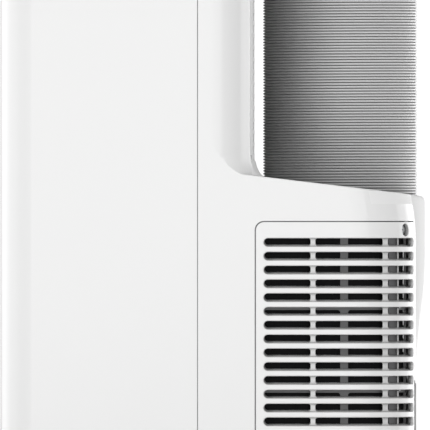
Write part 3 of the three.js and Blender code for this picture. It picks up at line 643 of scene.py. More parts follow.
def upper_plan(off, n=14):
    r = max(R_TIGHT - off, 0.3)
    qy = UPPER_REAR_Y - off - r
    turn = math.degrees(math.asin((qy - C2[1]) / (R_LONG - off - r)))
    qx = C2[0] + (R_LONG - off - r) * math.cos(rad(turn))
    half = np.concatenate([arc(*C1, R_UPPER - off, 0, TURN_1, n), arc(*C2, R_LONG - off, TURN_1, turn, 6)[1:], arc(qx, qy, r, turn, 90, 8)[1:]])
    xs = np.linspace(qx, -qx, 27)[1:-1]
    return np.concatenate([front_arcs(off), half, np.column_stack([xs, bow(xs) - off]), (half * (-1, 1))[::-1]])


def at_z(p, z):
    return np.column_stack([p[:, 0], p[:, 1], np.full(len(p), float(z))])


def lower_solid(off, z0, name="lower"):
    zs = [z0, 250, 405] + [405 + 4.5 * k for k in range(1, 18)]
    ob = loft(name, [lower_ring(z, off) for z in zs])
    # everything above the deck goes
    pts = [(-400, deck(-400) - off), (400, deck(400) - off), (400, 700), (-400, 700)]
    return minus(ob, prism(pts, "X", -400, 400))


def upper_solid(off, z1, name="upper"):
    return loft(name, [at_z(upper_plan(off), 300), at_z(upper_plan(off), z1)])


def cove_solid(off, name="cove"):
    rings = [at_z(upper_plan(off - COVE_OUT), -30)]
    for k in range(9):
        t = k * math.pi / 16
        rings.append(at_z(upper_plan(off - COVE_OUT * (1 - math.sin(t))), COVE_UP * (1 - math.cos(t)) - off))
    for r in rings:
        r[:, 2] += deck(r[:, 1])
    ob = loft(name, rings)
    p = lower_ring(400, off)[:, :2]
    return both(ob, prism(p, "Z", 380, 560))


BULGE = [(70.0, 225.0), (74.0, 250.0), (75.2, 262.0), (76.2, 280.0), (77.4, 300.0), (79.0, 318.0), (80.9, 333.0), (82.6, 346.0),
         (83.9, 360.0), (84.8, 376.0), (85.2, 390.0), (BULGE_R, 403.0), (BULGE_R, 437.0)]


# ------------------------------------------------------------------ the side grille's own space: s along the skin, z up, d inward
def skin_map(s, z, d):
    s, z, d = (np.asarray(a, float) for a in (s, z, d))
    th = np.clip((s - CY) / R_REAR, 0, None)
    x = np.where(s <= CY, HALF_W - d, CX + (R_REAR - d) * np.cos(th))
    y = np.where(s <= CY, s, CY + (R_REAR - d) * np.sin(th))
    y = y - inset(y, z)
    return np.stack([x, y, z], -1)


S_GRID = np.concatenate([[0.0, CY], CY + R_REAR * np.radians(np.arange(3, 93, 3.0))])
S_END = CY + R_REAR * rad(PANEL_PHI)
S_SLOT1 = CY + R_REAR * rad(SLOT_PHI)
S_SCREW = CY + R_REAR * rad(SCREW_PHI)


def warp(ob):
    """bends a flat panel round the corner: its x is minus the depth under the skin, its y runs along the skin"""
    bm = bmesh.new()
    bm.from_mesh(ob.data)
    lo = min(v.co.y for v in bm.verts) * 1000
    hi = max(v.co.y for v in bm.verts) * 1000
    for s in S_GRID:
        if lo + 0.02 < s < hi - 0.02:
            bmesh.ops.bisect_plane(bm, geom=bm.verts[:] + bm.edges[:] + bm.faces[:], dist=1e-7, plane_co=(0, s * MM, 0), plane_no=(0, 1, 0))
    top = max(v.co.z for v in bm.verts) * 1000
    if top > 405:
        for z in (405, 409.5, 414, 418.5, 423):
            if z < top - 0.02:
                bmesh.ops.bisect_plane(bm, geom=bm.verts[:] + bm.edges[:] + bm.faces[:], dist=1e-7, plane_co=(0, 0, z * MM), plane_no=(0, 0, 1))
    co = np.array([v.co for v in bm.verts]) * 1000
    w = skin_map(co[:, 1], co[:, 2], -co[:, 0]) * MM
    for v, c in zip(bm.verts, w):
        v.co = c
    bm.normal_update()
    bm.to_mesh(ob.data)
    bm.free()
    ob.data.update()
    return ob


def side_plate(grow, d0, d1, r_left=8.5, end=None):
    """the panel's flat outline as a plate between two depths: its front corners are round"""
    y0, y1, z0, z1 = PANEL_Y0 - grow, S_END + (grow if end is None else end), PANEL_Z0 - grow, PANEL_Z1 + grow
    r = r_left + grow * 0.6
    p = np.concatenate([[(y1, z0), (y1, z1)], arc(y0 + r, z1 - r, r, 90, 180, 8), arc(y0 + r, z0 + r, r, 180, 270, 8)])
    return prism(p, "X", -d1, -d0)


def radial_frame(z):
    phi = rad(SCREW_PHI)
    n = np.array([math.cos(phi), math.sin(phi), 0])
    t = np.array([-math.sin(phi), math.cos(phi), 0])
    o = np.array([CX, CY - float(inset(CY + 50, z)), z])
    return o, n, t


def radial_turned(name, profile, n=40):
    """profile of (r, depth under the skin), revolved round the corner's radius through the screw"""
    o, nn, t = radial_frame(SCREW_Z)
    up = np.array([0, 0, 1.0])
    v, f = turned_data([(r, -d) for r, d in profile], "Z", (0, 0), n, closed=False)
    w = o + v[:, :1] * t + v[:, 1:2] * up + (R_REAR + v[:, 2:3]) * nn
    return clean(mesh(name, w, f))


def screw_hole(r, d0, d1):
    return radial_turned("hole", [(0, d0), (r, d0), (r, d1), (0, d1)])


# ------------------------------------------------------------------ rear casing
def bulge_top(off):
    """the bulge round the hose; its rounded rim follows the deck's slope"""
    top = deck(HOSE_Y + BULGE_R) - 0.03
    prof = [(0, 225.0 + off)] + [(r - off, z + off * 0.3) for r, z in BULGE[:-1]]
    r = 5.2
    if off:
        prof += [(BULGE_R - off, top - off - 0.2), (0, top - off - 0.2)]
    else:
        prof += [(BULGE_R - r + r * math.cos(rad(a)), top - r + r * math.sin(rad(a))) for a in range(0, 91, 15)]
        prof += [(BULGE_R - r - 0.1, top - 6), (0, top - 6)]
    v, f = turned_data(prof, "Z", (0, HOSE_Y), 96, closed=False)
    w = np.clip((v[:, 2] - 403) / 34, 0, 1)
    v[:, 2] += w * (deck(v[:, 1]) - deck(HOSE_Y + BULGE_R))
    return clean(mesh("bulge", v, f))


def rear_body(off, z0, z1):
    a = lower_solid(off, z0)
    return plus(a, upper_solid(off, z1), cove_solid(off), bulge_top(off))


GR_X, GR_Z0, GR_Z1, GR_Y0 = 192.0, 484.3, 800.0, 27.4
RP_X, RP_Z0, RP_Z1 = 140.0, 76.0, 262.0


def sides(make):
    a = make()
    b = mirror(a, a.name + "_l")
    return a, b


def slice_up(ob, ys=(), zs=(), xs=()):
    """cuts a mesh's faces along planes, so that no face has holes in it"""
    bm = bmesh.new()
    bm.from_mesh(ob.data)
    for vals, no in ((xs, (1, 0, 0)), (ys, (0, 1, 0)), (zs, (0, 0, 1))):
        for v in vals:
            bmesh.ops.bisect_plane(bm, geom=bm.verts[:] + bm.edges[:] + bm.faces[:], dist=1e-7, plane_co=tuple(v * MM * k for k in no), plane_no=no)
    bm.to_mesh(ob.data)
    bm.free()
    ob.data.update()
    return ob


def pick_bevel(ob, width, want, segments=2, angle=35, profile=0.5):
    """rounds the edges that want(mid, length) picks, in millimetres"""
    bm = bmesh.new()
    bm.from_mesh(ob.data)
    lim = rad(angle)
    es = []
    for e in bm.edges:
        if len(e.link_faces) != 2 or e.calc_face_angle(0) < lim:
            continue
        m = (e.verts[0].co + e.verts[1].co) * 500
        if want(m, e.calc_length() * 1000):
            es.append(e)
    if es:
        bmesh.ops.bevel(bm, geom=es, offset=width * MM, offset_type="OFFSET", segments=segments, profile=profile,
                        affect="EDGES", clamp_overlap=False, miter_outer="SHARP", harden_normals=False)
    bm.to_mesh(ob.data)
    bm.free()
    ob.data.update()
    return ob


def absorb(ob, *others):
    """joins meshes into one object without cutting them"""
    bm = bmesh.new()
    bm.from_mesh(ob.data)
    for o in others:
        bm.from_mesh(o.data)
        data = o.data
        bpy.data.objects.remove(o)
        bpy.data.meshes.remove(data)
    bm.to_mesh(ob.data)
    bm.free()
    ob.data.update()
    return ob


def depth_of(m):
    """how far a point lies under the lower body's skin"""
    x, y = abs(m.x), m.y
    if y > CY and x > CX:
        y = y + float(inset(y, m.z))
        return R_REAR - math.hypot(x - CX, y - CY)
    return min(HALF_W - x, REAR_Y - float(inset(y, m.z)) - y)


def build_rear():
    s = rear_body(0, CASING_Z0, CASING_Z1)
    minus(s, rear_body(WALL, 0, 900))
    both(s, block(-300, 300, SEAM_Y + SEAM / 2, 300, 0, 900))
    minus(s, prism(arc(0, HOSE_Y, HOLE_R, 0, 360, 120)[:-1], "Z", 380, 520))
    # openings for the two side grilles
    a, b = sides(lambda: warp(side_plate(0.9, -3.0, WALL + 2.0)))
    minus(s, a, b)
    # shallow recess round the rear panel, and the panel's seat
    minus(s, prism(xz(rrect(-188, 188, 40, RP_Z1 + 4.0, 12)), "Y", REAR_Y - 1.6, 215))
    minus(s, prism(xz(rrect(-RP_X - 0.6, RP_X + 0.6, RP_Z0 - 0.6, RP_Z1 + 0.6, 10.4)), "Y", 194, 215))
    # pocket of the upper grille, its window, and the filter's guide
    plus(s, block(-GR_X - 3.5, GR_X + 3.5, GR_Y0 - 3.4, UPPER_REAR_Y - 1.3, GR_Z0 - 3.3, GR_Z1 + 3.3))
    plus(s, both(block(-224, -GR_X - 0.5, 25.4, 36, GR_Z0 + 0.5, 791.7), upper_solid(0.5, 805)))
    minus(s, prism(xz(rrect(-GR_X - 0.15, GR_X + 0.15, GR_Z0 - 0.15, GR_Z1 + 0.15, 8.15)), "Y", GR_Y0 - 0.4, 60))
    minus(s, prism(xz(rrect(-176, 176, 490, 784, 8)), "Y", 10, 60))
    minus(s, block(-240, -190, 28.1, 33.5, 487.6, 788.6))
    both(s, block(-300, 300, -300, 300, CASING_Z0, 900))
    slice_up(s, zs=[PANEL_Z1 + 4.0], ys=[PANEL_Y0 - 4.0])

    def deck_edge(m, l):
        top = deck(m.y)
        return abs(m.z - top) < 0.6 and (depth_of(m) < 0.8 or math.hypot(m.x, m.y - HOSE_Y) < HOLE_R + 0.5)

    def opening(m, l):
        return depth_of(m) < 0.15 and m.y > PANEL_Y0 - 2 and PANEL_Z0 - 2 < m.z < PANEL_Z1 + 2

    def seam(m, l):
        return m.y < SEAM_Y + 0.4 and (abs(m.x) > HALF_W - 0.2)

    pick_bevel(s, 1.1, deck_edge, 3, 30)
    pick_bevel(s, 0.4, lambda m, l: opening(m, l) or seam(m, l), 2, 40)
    # ledges behind the grilles and the panel; the rim of the panel's seat
    ledge = side_plate(7.0, WALL + 0.9, 6.6)
    minus(ledge, side_plate(-6.0, 0.0, 9.0, end=0.3), prism(arc(S_SCREW, SCREW_Z, 10.0, 0, 360, 36)[:-1], "X", -14.0, 0.0))
    slice_up(ledge, zs=[PANEL_Z0 + 8, SCREW_Z], ys=[PANEL_Y0 + 8])
    warp(ledge)
    rim = prism(xz(rrect(-RP_X - 7, RP_X + 7, CASING_Z0, RP_Z1 + 7, 5)), "Y", REAR_Y - 6, REAR_Y - WALL)
    minus(rim, prism(xz(rrect(-RP_X + 6, RP_X - 6, RP_Z0 + 6, RP_Z1 - 6, 7)), "Y", 180, 215))
    return absorb(s, mirror(ledge, "ledge_l"), ledge, rim)


def build_front():
    s = loft("front", [lower_ring(CASING_Z0), lower_ring(CASING_Z1)])
    minus(s, loft("c", [lower_ring(0, WALL), lower_ring(900, WALL)]))
    both(s, block(-300, 300, -300, SEAM_Y - SEAM / 2, 0, 900))
    for k in (-1, 1):
        plus(s, block(*sorted((k * 229.2, k * 232.1)), SEAM_Y - 9.5, SEAM_Y - SEAM / 2 - 0.4, 76, 804))
        plus(s, block(*sorted((k * 229.2, k * 231.6)), SEAM_Y - 1, SEAM_Y + 7.5, 76, 804))
    minus(s, prism(xz(rrect(-180.5, 180.5, 689.5, 790.5, 6.5)), "Y", -230, -200))
    minus(s, prism(rrect(-140.4, -39.6, 711.6, 748.4, 8.4), "X", -240, 240))
    return s


rear = build_rear()
front = build_front()
pick_bevel(front, 0.4, lambda m, l: m.y > SEAM_Y - 0.7 and abs(m.x) > HALF_W - 0.2, 2, 40)
pick_bevel(front, 0.6, lambda m, l: (m.y < FRONT_Y + 0.2 and abs(m.x) < 190 and 680 < m.z < 800) or (abs(m.x) > HALF_W - 0.2 and -150 < m.y < -30 and 700 < m.z < 760), 2, 40)


# ------------------------------------------------------------------ side grille, its filter and its screw
MULLIONS = [(96.1, 101.1), (167.9, 173.1)]  # along Y, their walls square to the side
SLAT_D = 7.5
LIP_RISE = 2.4  # a slat's top face climbs outward by this much
LIP_R, BROW_R, BROW_D = 0.22, 1.2, 1.3  # rounding of a slat's upper and lower outer edges


def slot_rows():
    return [SLOT_TOP - k * SLOT_PITCH for k in range(SLOT_COUNT)]


def rise(d):
    return LIP_RISE * max(0.0, d) / SLAT_D


def brow(d):
    u = min(max(d, 0.0) / BROW_D, 1.0)
    return BROW_R * math.sqrt(1 - (1 - u) ** 2) + 0.02 * max(0.0, d - BROW_D)


def lip(d):
    u = min(max(d, 0.0) / LIP_R, 1.0)
    return LIP_R * (1 - math.sqrt(1 - (1 - u) ** 2))


def along(y, d):
    """distance along the skin of a point at this Y and depth"""
    return y if y <= CY else CY + R_REAR * math.asin(min(1.0, (y - CY) / (R_REAR - d)))


def slot_cutter(z1):
    """the outer part of a slot: half-round ends, its floor climbing inward, its edges rounded"""
    z0 = z1 - SLOT_H
    rings = []
    for d in (-1.5, 0.0, 0.06, 0.17, 0.45, 0.8, 1.3, 3.0):
        b = z0 + rise(d) - lip(d)
        t = z1 - brow(d)
        r = (t - b) / 2 - 0.01
        e = 0.5 * rise(d) + 0.8 * brow(d)
        p = rrect(SLOT_Y0 + e, S_SLOT1 - e, b, t, r, 7)
        rings.append(np.column_stack([np.full(len(p), -d), p[:, 0], p[:, 1]]))
    return loft_data(rings[::-1])


def window_cutter(z1, y0, y1):
    """the deep part of a slot between two uprights; None stands for the slot's own end"""
    z0 = z1 - SLOT_H
    rings = []
    for d in (2.95, 5.6, 8.6) if y1 is not None else (2.95, 4.5, 4.56, 8.6):
        b = z0 + rise(d) + 0.02
        t = z1 - brow(3.0) - 0.02
        r = (t - b) / 2 - 0.03
        a0 = SLOT_Y0 + 0.5 * rise(d) + 0.8 * BROW_R if y0 is None else along(y0, d)
        a1 = along(y1, d) if y1 is not None else S_SLOT1 - 0.5 * rise(3.0) - 0.8 * BROW_R if d < 4.53 else S_SLOT1 + 7.0
        r0 = r if y0 is None else min(2.2, r)
        r1 = 0.6 if y1 is None else min(2.2, r)
        p = np.concatenate([arc(a1 - r1, t - r1, r1, 0, 90, 6), arc(a0 + r0, t - r0, r0, 90, 180, 6),
                            arc(a0 + r0, b + r0, r0, 180, 270, 6), arc(a1 - r1, b + r1, r1, 270, 360, 6)])
        rings.append(np.column_stack([np.full(len(p), -d), p[:, 0], p[:, 1]]))
    return loft_data(rings[::-1])


def build_grille():
    s = side_plate(0.0, 0.0, 2.7)
    plus(s, block(-SLAT_D, -1.0, SLOT_Y0 - 4, S_SLOT1 + 2.2, slot_rows()[-1] - SLOT_H - 4.5, SLOT_TOP + 4.5))
    minus(s, mesh("cut", *join_data([slot_cutter(z) for z in slot_rows()])))
    spans = [(None, MULLIONS[0][0]), (MULLIONS[0][1], MULLIONS[1][0]), (MULLIONS[1][1], None)]
    minus(s, mesh("cut2", *join_data([window_cutter(z, *q) for z in slot_rows() for q in spans])))
    plus(s, block(-SLAT_D, -5.9, 195.0, 197.3, slot_rows()[-1] - SLOT_H - 4.0, SLOT_TOP + 4.0))
    for z in (339.4, 257.1, 174.8):
        plus(s, block(-6.4, -3.6, 194.9, 197.4, z - 2.2, z + 0.4))

    def stub(name, prof, n=48):
        v, f = turned_data([(r, -d) for r, d in prof], "X", (S_SCREW, SCREW_Z), n, closed=False)
        return clean(mesh(name, v, f))
    plus(s, stub("boss", [(0, 8.0), (8.0, 8.0), (8.0, 1.2), (0, 1.2)]))
    minus(s, stub("well", [(0, 5.6), (6.2, 5.6), (6.2, 0.9), (6.35, 0.4), (6.7, 0.1), (7.4, -0.05), (7.4, -3.0), (0, -3.0)]))
    minus(s, stub("bore", [(0, 12.0), (2.4, 12.0), (2.4, 4.0), (0, 4.0)], 24))
    mid = (SLOT_PITCH - SLOT_H) / 2
    slice_up(s, ys=[70.0, 112.0, S_SLOT1 - 20.0], zs=[z + mid for z in slot_rows()] + [slot_rows()[-1] - SLOT_H - mid])
    pick_bevel(s, 0.45, lambda m, l: abs(m.x) < 0.02 and (m.y < SLOT_Y0 - 1 or m.y > S_SLOT1 + 1 or m.z > SLOT_TOP + 1 or m.z < PANEL_Z0 + 2), 2, 40)
    pick_bevel(s, 0.4, lambda m, l: abs(m.x + 3.0) < 0.05 and any(along(a, 3) - 0.2 < m.y < along(b, 3) + 0.2 for a, b in MULLIONS), 2, 40)
    warp(s)
    return s


grille = build_grille()
print("grille", len(grille.data.vertices), len(grille.data.polygons))
grille_l = mirror(grille, "grille_l")


def build_filter():
    """a moulded frame with posts and rungs that carries a fine net"""
    y0, y1, z0, z1 = PANEL_Y0 - 2.5, S_END + 2.5, PANEL_Z0 - 2.5, PANEL_Z1 + 2.5
    s = prism(rrect(y0, y1, z0, z1, 7), "X", -11.0, -8.4)
    ys = [y0 + 10.5, 125.7, 133.6, along(174.4, 8.4), along(182.4, 8.4), y1 - 3.5]
    rungs = [339 - k * 6 * SLOT_PITCH for k in range(3)]
    zs = [z0 + 10.5] + [v for r in reversed(rungs) for v in (r - 3.5, r)] + [z1 - 10.5]
    cuts = []
    for i in range(0, len(ys), 2):
        for j in range(0, len(zs), 2):
            cuts.append(prism_data(rrect(ys[i], ys[i + 1], zs[j], zs[j + 1], 2.5, 4), "X", -12.0, -7.0))
    minus(s, mesh("cut", *join_data(cuts)))
    minus(s, prism(arc(S_SCREW, SCREW_Z, 10.6, 0, 360, 36)[:-1], "X", -14.0, -5.0))
    pick_bevel(s, 0.5, lambda m, l: m.x > -8.5, 2, 40)
    return warp(s)


def build_net():
    s = prism(rrect(PANEL_Y0 + 4, S_END - 4, PANEL_Z0 + 4, PANEL_Z1 - 4, 5), "X", -11.35, -10.7)
    minus(s, prism(arc(S_SCREW, SCREW_Z, 10.6, 0, 360, 36)[:-1], "X", -14.0, -5.0))
    return warp(s)


sfilter = build_filter()
snet = build_net()


def build_upper_filter():
    """the drawer behind the bay's back wall: a frame with six cells and a finger hollow at its outer end"""
    s = block(-209.5, 181, 28.7, 32.9, 488.2, 788)
    cells = [prism_data(xz(rrect(x, x + 112, z, z + 138, 4, 4)), "Y", 20, 40) for x in (-180, -60, 60) for z in (494, 640)]
    minus(s, mesh("cut", *join_data(cells)), prism(xz(rrect(-206.5, -189, 600, 676, 6)), "Y", 31.1, 40))
    slice_up(s, xs=[-184.0, -64.0, 56.0], zs=[636.0])
    pick_bevel(s, 0.4, lambda m, l: True, 2, 40)
    return s


ufilter = build_upper_filter()
unet = prism(xz(rrect(-183, 175, 491, 781, 6)), "Y", 29.2, 29.6)
# a soft seal runs round the rear panel and stands up to the panel's own face
seal = prism(xz(rrect(-RP_X - 3.4, RP_X + 3.4, RP_Z0 - 3.4, RP_Z1 + 3.4, 13)), "Y", REAR_Y - 1.55, REAR_Y - 0.1)
minus(seal, prism(xz(rrect(-RP_X - 0.1, RP_X + 0.1, RP_Z0 - 0.1, RP_Z1 + 0.1, 10)), "Y", 190, 215))
pick_bevel(seal, 0.5, lambda m, l: m.y > REAR_Y - 0.2, 2, 40)


def build_screw():
    head = radial_turned("head", [(0, 3.1), (2.2, 3.1), (3.6, 3.35), (4.5, 3.75), (5.0, 4.3), (5.2, 4.9), (5.2, 5.3), (2.1, 5.3),
                                  (2.0, 13.2), (0.4, 14.0), (0, 14.0)], 40)
    o, n, t = radial_frame(SCREW_Z)
    up = np.array([0, 0, 1.0])
    for a, b in ((t, up), (up, t)):
        q = []
        for w, l, d in ((0.35, 2.0, 5.6), (0.62, 2.9, 2.9)):
            for i, j in ((-1, -1), (1, -1), (1, 1), (-1, 1)):
                q.append(o + a * (i * l) + b * (j * w) + n * (R_REAR - d))
        v, f = loft_data([q[:4], q[4:]])
        minus(head, clean(mesh("x", v, f)))
    return head


screw = build_screw()

# ------------------------------------------------------------------ upper grille
SLAT_P, SLAT_C0 = 12.07, 501.0 - 12.07


def bow_prism(x0, x1, z0, z1, y0, off, n=24):
    xs = np.linspace(x1, x0, n + 1)
    out = [(x0, y0), (x1, y0)] + [(x, float(bow(x)) - off) for x in xs]
    return prism_data(out, "Z", z0, z1)


def build_upper_grille():
    s = mesh("ug", *bow_prism(-GR_X, GR_X, GR_Z0, GR_Z1, GR_Y0, 0.0, 32))
    both(s, prism(xz(rrect(-GR_X, GR_X, GR_Z0, GR_Z1, 8, 8)), "Y", 20, 60))
    minus(s, prism(xz(rrect(-184, 184, 487.5, 790, 3)), "Y", 20, 34.7))
    # the field sinks a little, and the slats stand back up to the wall's own surface
    f0, f1 = 491.3, 491.3 + 24 * SLAT_P + 7.4
    xs = np.linspace(-172, 172, 33)
    pts = [(x, float(bow(x)) - 0.25) for x in xs] + [(172, 60), (-172, 60)]
    minus(s, prism(pts, "Z", f0, f1))
    ups = [-142.5, -114.0, -85.5, -57.0, -28.5, 0.0, 28.5, 57.0, 85.5, 114.0, 142.5]
    edges = [-171.0] + [v for u in ups for v in (u - 1.4, u + 1.4)] + [171.0]
    cuts = []
    for k in range(25):
        z = 491.3 + k * SLAT_P
        for i in range(0, len(edges), 2):
            cuts.append(prism_data(xz(rrect(edges[i], edges[i + 1], z, z + 7.4, 1.6, 4)), "Y", 28, 60))
    minus(s, mesh("cut", *join_data(cuts)))
    bars = []
    for k in range(24):
        z = 491.3 + 7.4 + k * SLAT_P
        xs = np.linspace(-171.9, 171.9, 33)
        sec = [(-2.5, 0.0), (-0.5, 0.0), (-0.12, 0.35), (0.0, 1.0), (0.0, SLAT_P - 7.4 - 1.0), (-0.12, SLAT_P - 7.4 - 0.35), (-0.5, SLAT_P - 7.4), (-2.5, SLAT_P - 7.4)]
        rings = [[(x, float(bow(x)) + d, z + h) for d, h in sec] for x in xs]
        bars.append(loft_data(rings))
    v, f = join_data(bars)
    plus(s, clean(mesh("bars", v, f)))
    minus(s, block(-200, -180, 28.1, 33.5, 487.6, 788.6))
    pick_bevel(s, 0.2, lambda m, l: m.y > 30 and (abs(m.x) > GR_X - 0.05 or m.z < GR_Z0 + 0.05 or m.z > GR_Z1 - 0.05), 2, 40)
    return s


upper = build_upper_grille()

# ------------------------------------------------------------------ hose
HOSE_P = 2.872


def build_hose(n=80, m=8):
    """a spiral duct pushed together: one rib winds up it"""
    prof = [0.0, 0.05, 0.22, 1.10, 2.20, 1.10, 0.22, 0.05]  # depth below the rib's crest over one pitch
    turns = int((HOSE_Z1 - HOSE_Z0) / HOSE_P) + 1
    rows = turns * m
    th = np.arange(n) * 2 * math.pi / n
    q = np.arange(rows + 1)
    z = HOSE_Z0 + HOSE_P * (q[:, None] / m + np.arange(n)[None, :] / n) - HOSE_P * 0.5 - 1.0
    z = np.clip(z, HOSE_Z0, HOSE_Z1)
    depth = np.array([prof[i % m] for i in q])[:, None] * np.ones(n)[None, :]
    r = HOSE_R - depth
    # small unevenness of a duct that has been pulled out and pushed back
    wob = 0.10 * np.sin(2 * th[None, :] + q[:, None] * 0.011) * np.sin(q[:, None] * 0.037)
    r = r - np.abs(wob)
    v = np.stack([r * np.cos(th)[None, :], HOSE_Y + r * np.sin(th)[None, :], z], -1).reshape(-1, 3)
    idx = lambda a, b: a * n + b
    f = []
    for a in range(rows):
        for b in range(n - 1):
            f.append((idx(a, b), idx(a, b + 1), idx(a + 1, b + 1), idx(a + 1, b)))
        if a + 1 + m <= rows:
            f.append((idx(a, n - 1), idx(a + m, 0), idx(a + m + 1, 0), idx(a + 1, n - 1)))
    # bottom and top edges of the winding, as loops that run once round
    low = [idx(0, b) for b in range(n)] + [idx(k, 0) for k in range(m, 0, -1)]
    high = [idx(rows, b) for b in range(n)]
    top_tail = [idx(rows - k, n - 1) for k in range(1, m + 1)]
    high = high + top_tail
    return v, f, low, high


def hose_object():
    v, f, low, high = build_hose()
    ob = mesh("hose", v, f)
    bm = bmesh.new()
    bm.from_mesh(ob.data)
    bmesh.ops.recalc_face_normals(bm, faces=bm.faces)
    rim = [e for e in bm.edges if len(e.link_faces) == 1]
    ret = bmesh.ops.extrude_edge_only(bm, edges=rim)
    vs = [g for g in ret["geom"] if isinstance(g, bmesh.types.BMVert)]
    for q in vs:
        d = Vector((q.co.x, q.co.y - HOSE_Y * MM, 0))
        k = (HOSE_R - 2.6) * MM / d.length
        q.co.x, q.co.y = d.x * k, HOSE_Y * MM + d.y * k
    es = [g for g in ret["geom"] if isinstance(g, bmesh.types.BMEdge)]
    bmesh.ops.bridge_loops(bm, edges=[e for e in es if len(e.link_faces) == 1])
    bmesh.ops.recalc_face_normals(bm, faces=bm.faces)
    bm.to_mesh(ob.data)
    bm.free()
    ob.data.shade_smooth()
    ob.data.set_sharp_from_angle(angle=rad(75))
    co = np.array([q.co for q in ob.data.vertices]) * 1000
    # how far each point sits down in a groove, for the painted groove shade
    under = np.clip((HOSE_R - np.hypot(co[:, 0], co[:, 1] - HOSE_Y)) / 2.2, 0, 1)
    ob.data.attributes.new("groove_shade", "FLOAT", "POINT").data.foreach_set("value", under.astype(np.float32))
    return ob


hose = hose_object()


# ------------------------------------------------------------------ top cover and base pan
def build_cover():
    def rings(off, z0, n=9):
        r = COVER_R - off
        out = [at_z(upper_plan(off), z0), at_z(upper_plan(off), COVER_Z1 - COVER_R)]
        for k in range(1, n + 1):
            a = k * math.pi / 2 / n * 0.985
            out.append(at_z(upper_plan(off + r * (1 - math.cos(a))), COVER_Z1 - COVER_R + r * math.sin(a)))
        out[-1][:, 2] = COVER_Z1 - off
        return out
    s = loft("cover", rings(0, 812.0))
    minus(s, loft("c", rings(WALL, 800.0)))
    minus(s, prism(rrect(-110, 110, -166, -86, 10, 8), "Z", 840, 880))
    pick_bevel(s, 0.4, lambda m, l: m.z < 812.05 and (abs(m.x) > HALF_W - 2.5 or m.y < FRONT_Y + 2.5 or m.y > 30 or math.hypot(max(0, abs(m.x) - (HALF_W - R_UPPER)), max(0, m.y - (UPPER_REAR_Y - R_UPPER))) > R_UPPER - 1
                                               or math.hypot(max(0, abs(m.x) - (HALF_W - R_FRONT)), max(0, FRONT_Y + R_FRONT - m.y)) > R_FRONT - 1), 2, 40)
    pick_bevel(s, 0.8, lambda m, l: m.z > COVER_Z1 - 0.02 and abs(m.x) < 112 and -168 < m.y < -84, 3, 40)
    return s


def build_base():
    s = loft("base", [lower_ring(30.0), lower_ring(70.0)])
    minus(s, loft("c", [lower_ring(33.5, 3.5), lower_ring(75.0, 3.5)]))
    posts = []
    for x, y in ((180, -150), (-180, -150), (180, 150), (-180, 150)):
        plus(s, prism(arc(x, y, 39, 0, 360, 36)[:-1], "Z", 30.2, 50.5))
        plus(s, prism(arc(x, y, 10, 0, 360, 24)[:-1], "Z", 49, 64))
        minus(s, prism(arc(x, y, 36, 0, 360, 36)[:-1], "Z", 28, 47.5))
        minus(s, prism(arc(x, y, 5.4, 0, 360, 24)[:-1], "Z", 46, 62.5))
    for x, y in ((-95, -57), (-145, -144), (-45, -144)):
        plus(s, prism(arc(x, y, 6, 0, 360, 20)[:-1], "Z", 31, 65.6))
    pick_bevel(s, 1.6, lambda m, l: m.z < 30.05 and not any(math.hypot(m.x - x, m.y - y) < 41 for x in (180, -180) for y in (-150, 150)), 3, 40)
    pick_bevel(s, 0.4, lambda m, l: m.z > 69.95, 2, 40)
    return s


cover = build_cover()
base = build_base()

# ------------------------------------------------------------------ window fitting and hose socket
def stadium(hx, hy, n=64):
    r = min(hx, hy)
    out = []
    for i in range(n):
        a = (i + 0.5) * 2 * math.pi / n
        out.append((r * math.cos(a) + math.copysign(hx - r, math.cos(a)), HOSE_Y + r * math.sin(a) + math.copysign(hy - r, math.sin(a))))
    return np.array(out)


def nozzle_rings(t, z0, z1):
    keys = [(z0, 81.8, 81.8), (778, 81.8, 81.8), (800, 112, 60), (815, 140, 44), (824, 150, 38), (z1, 150, 38)]
    zs = [z0, z0 + 3, 762, 778]
    body = []
    for i in range(1, 17):
        body.append(778 + (824 - 778) * i / 16)
    zs += body + [z1]
    out = []
    kz = [k[0] for k in keys]
    for z in zs:
        if z <= 778:
            hx, hy = 81.8, 81.8
        elif z >= 824:
            hx, hy = 150, 38
        else:
            u = (z - 778) / 46
            w = u * u * (3 - 2 * u)
            lx, ly = np.interp(z, kz, [k[1] for k in keys]), np.interp(z, kz, [k[2] for k in keys])
            sx, sy = 81.8 + (150 - 81.8) * w, 81.8 + (38 - 81.8) * w
            # stays on or inside the CAD's own straight stages
            hx, hy = min(lx, 0.5 * (sx + lx)), min(ly, 0.5 * (sy + ly))
        out.append(at_z(stadium(hx - t, hy - t), z))
    return out


def build_adapter():
    s = loft("adapter", nozzle_rings(0.0, 748, 848))
    minus(s, loft("c", nozzle_rings(2.5, 740, 860)))
    # a step under the rim; the bead round the sleeve is built and then thrown away
    bead = turned("bead", [(79.6, 750.2), (81.8, 748.6), (81.8, 748.0), (79.5, 748.0)], "Z", (0, HOSE_Y), 64)
    bpy.data.objects.remove(bead)
    stop = turned("stop", [(72, 774.5), (80, 774.5), (80, 777), (72, 777)], "Z", (0, HOSE_Y), 64)
    plus(s, stop)
    pick_bevel(s, 0.7, lambda m, l: m.z > 847.95 or m.z < 748.05, 2, 40)
    return s


def build_socket():
    s = turned("socket", [(70, 396), (80, 396), (80, 470), (78.1, 470), (78.1, 399), (70, 399)], "Z", (0, HOSE_Y), 96)
    minus(s, prism([(-400, deck(-400) - 0.6), (400, deck(400) - 0.6), (400, 700), (-400, 700)], "X", -400, 400))
    pick_bevel(s, 0.3, lambda m, l: abs(m.z - deck(m.y) + 0.6) < 0.05, 2, 40)
    return s


adapter = build_adapter()
socket = build_socket()

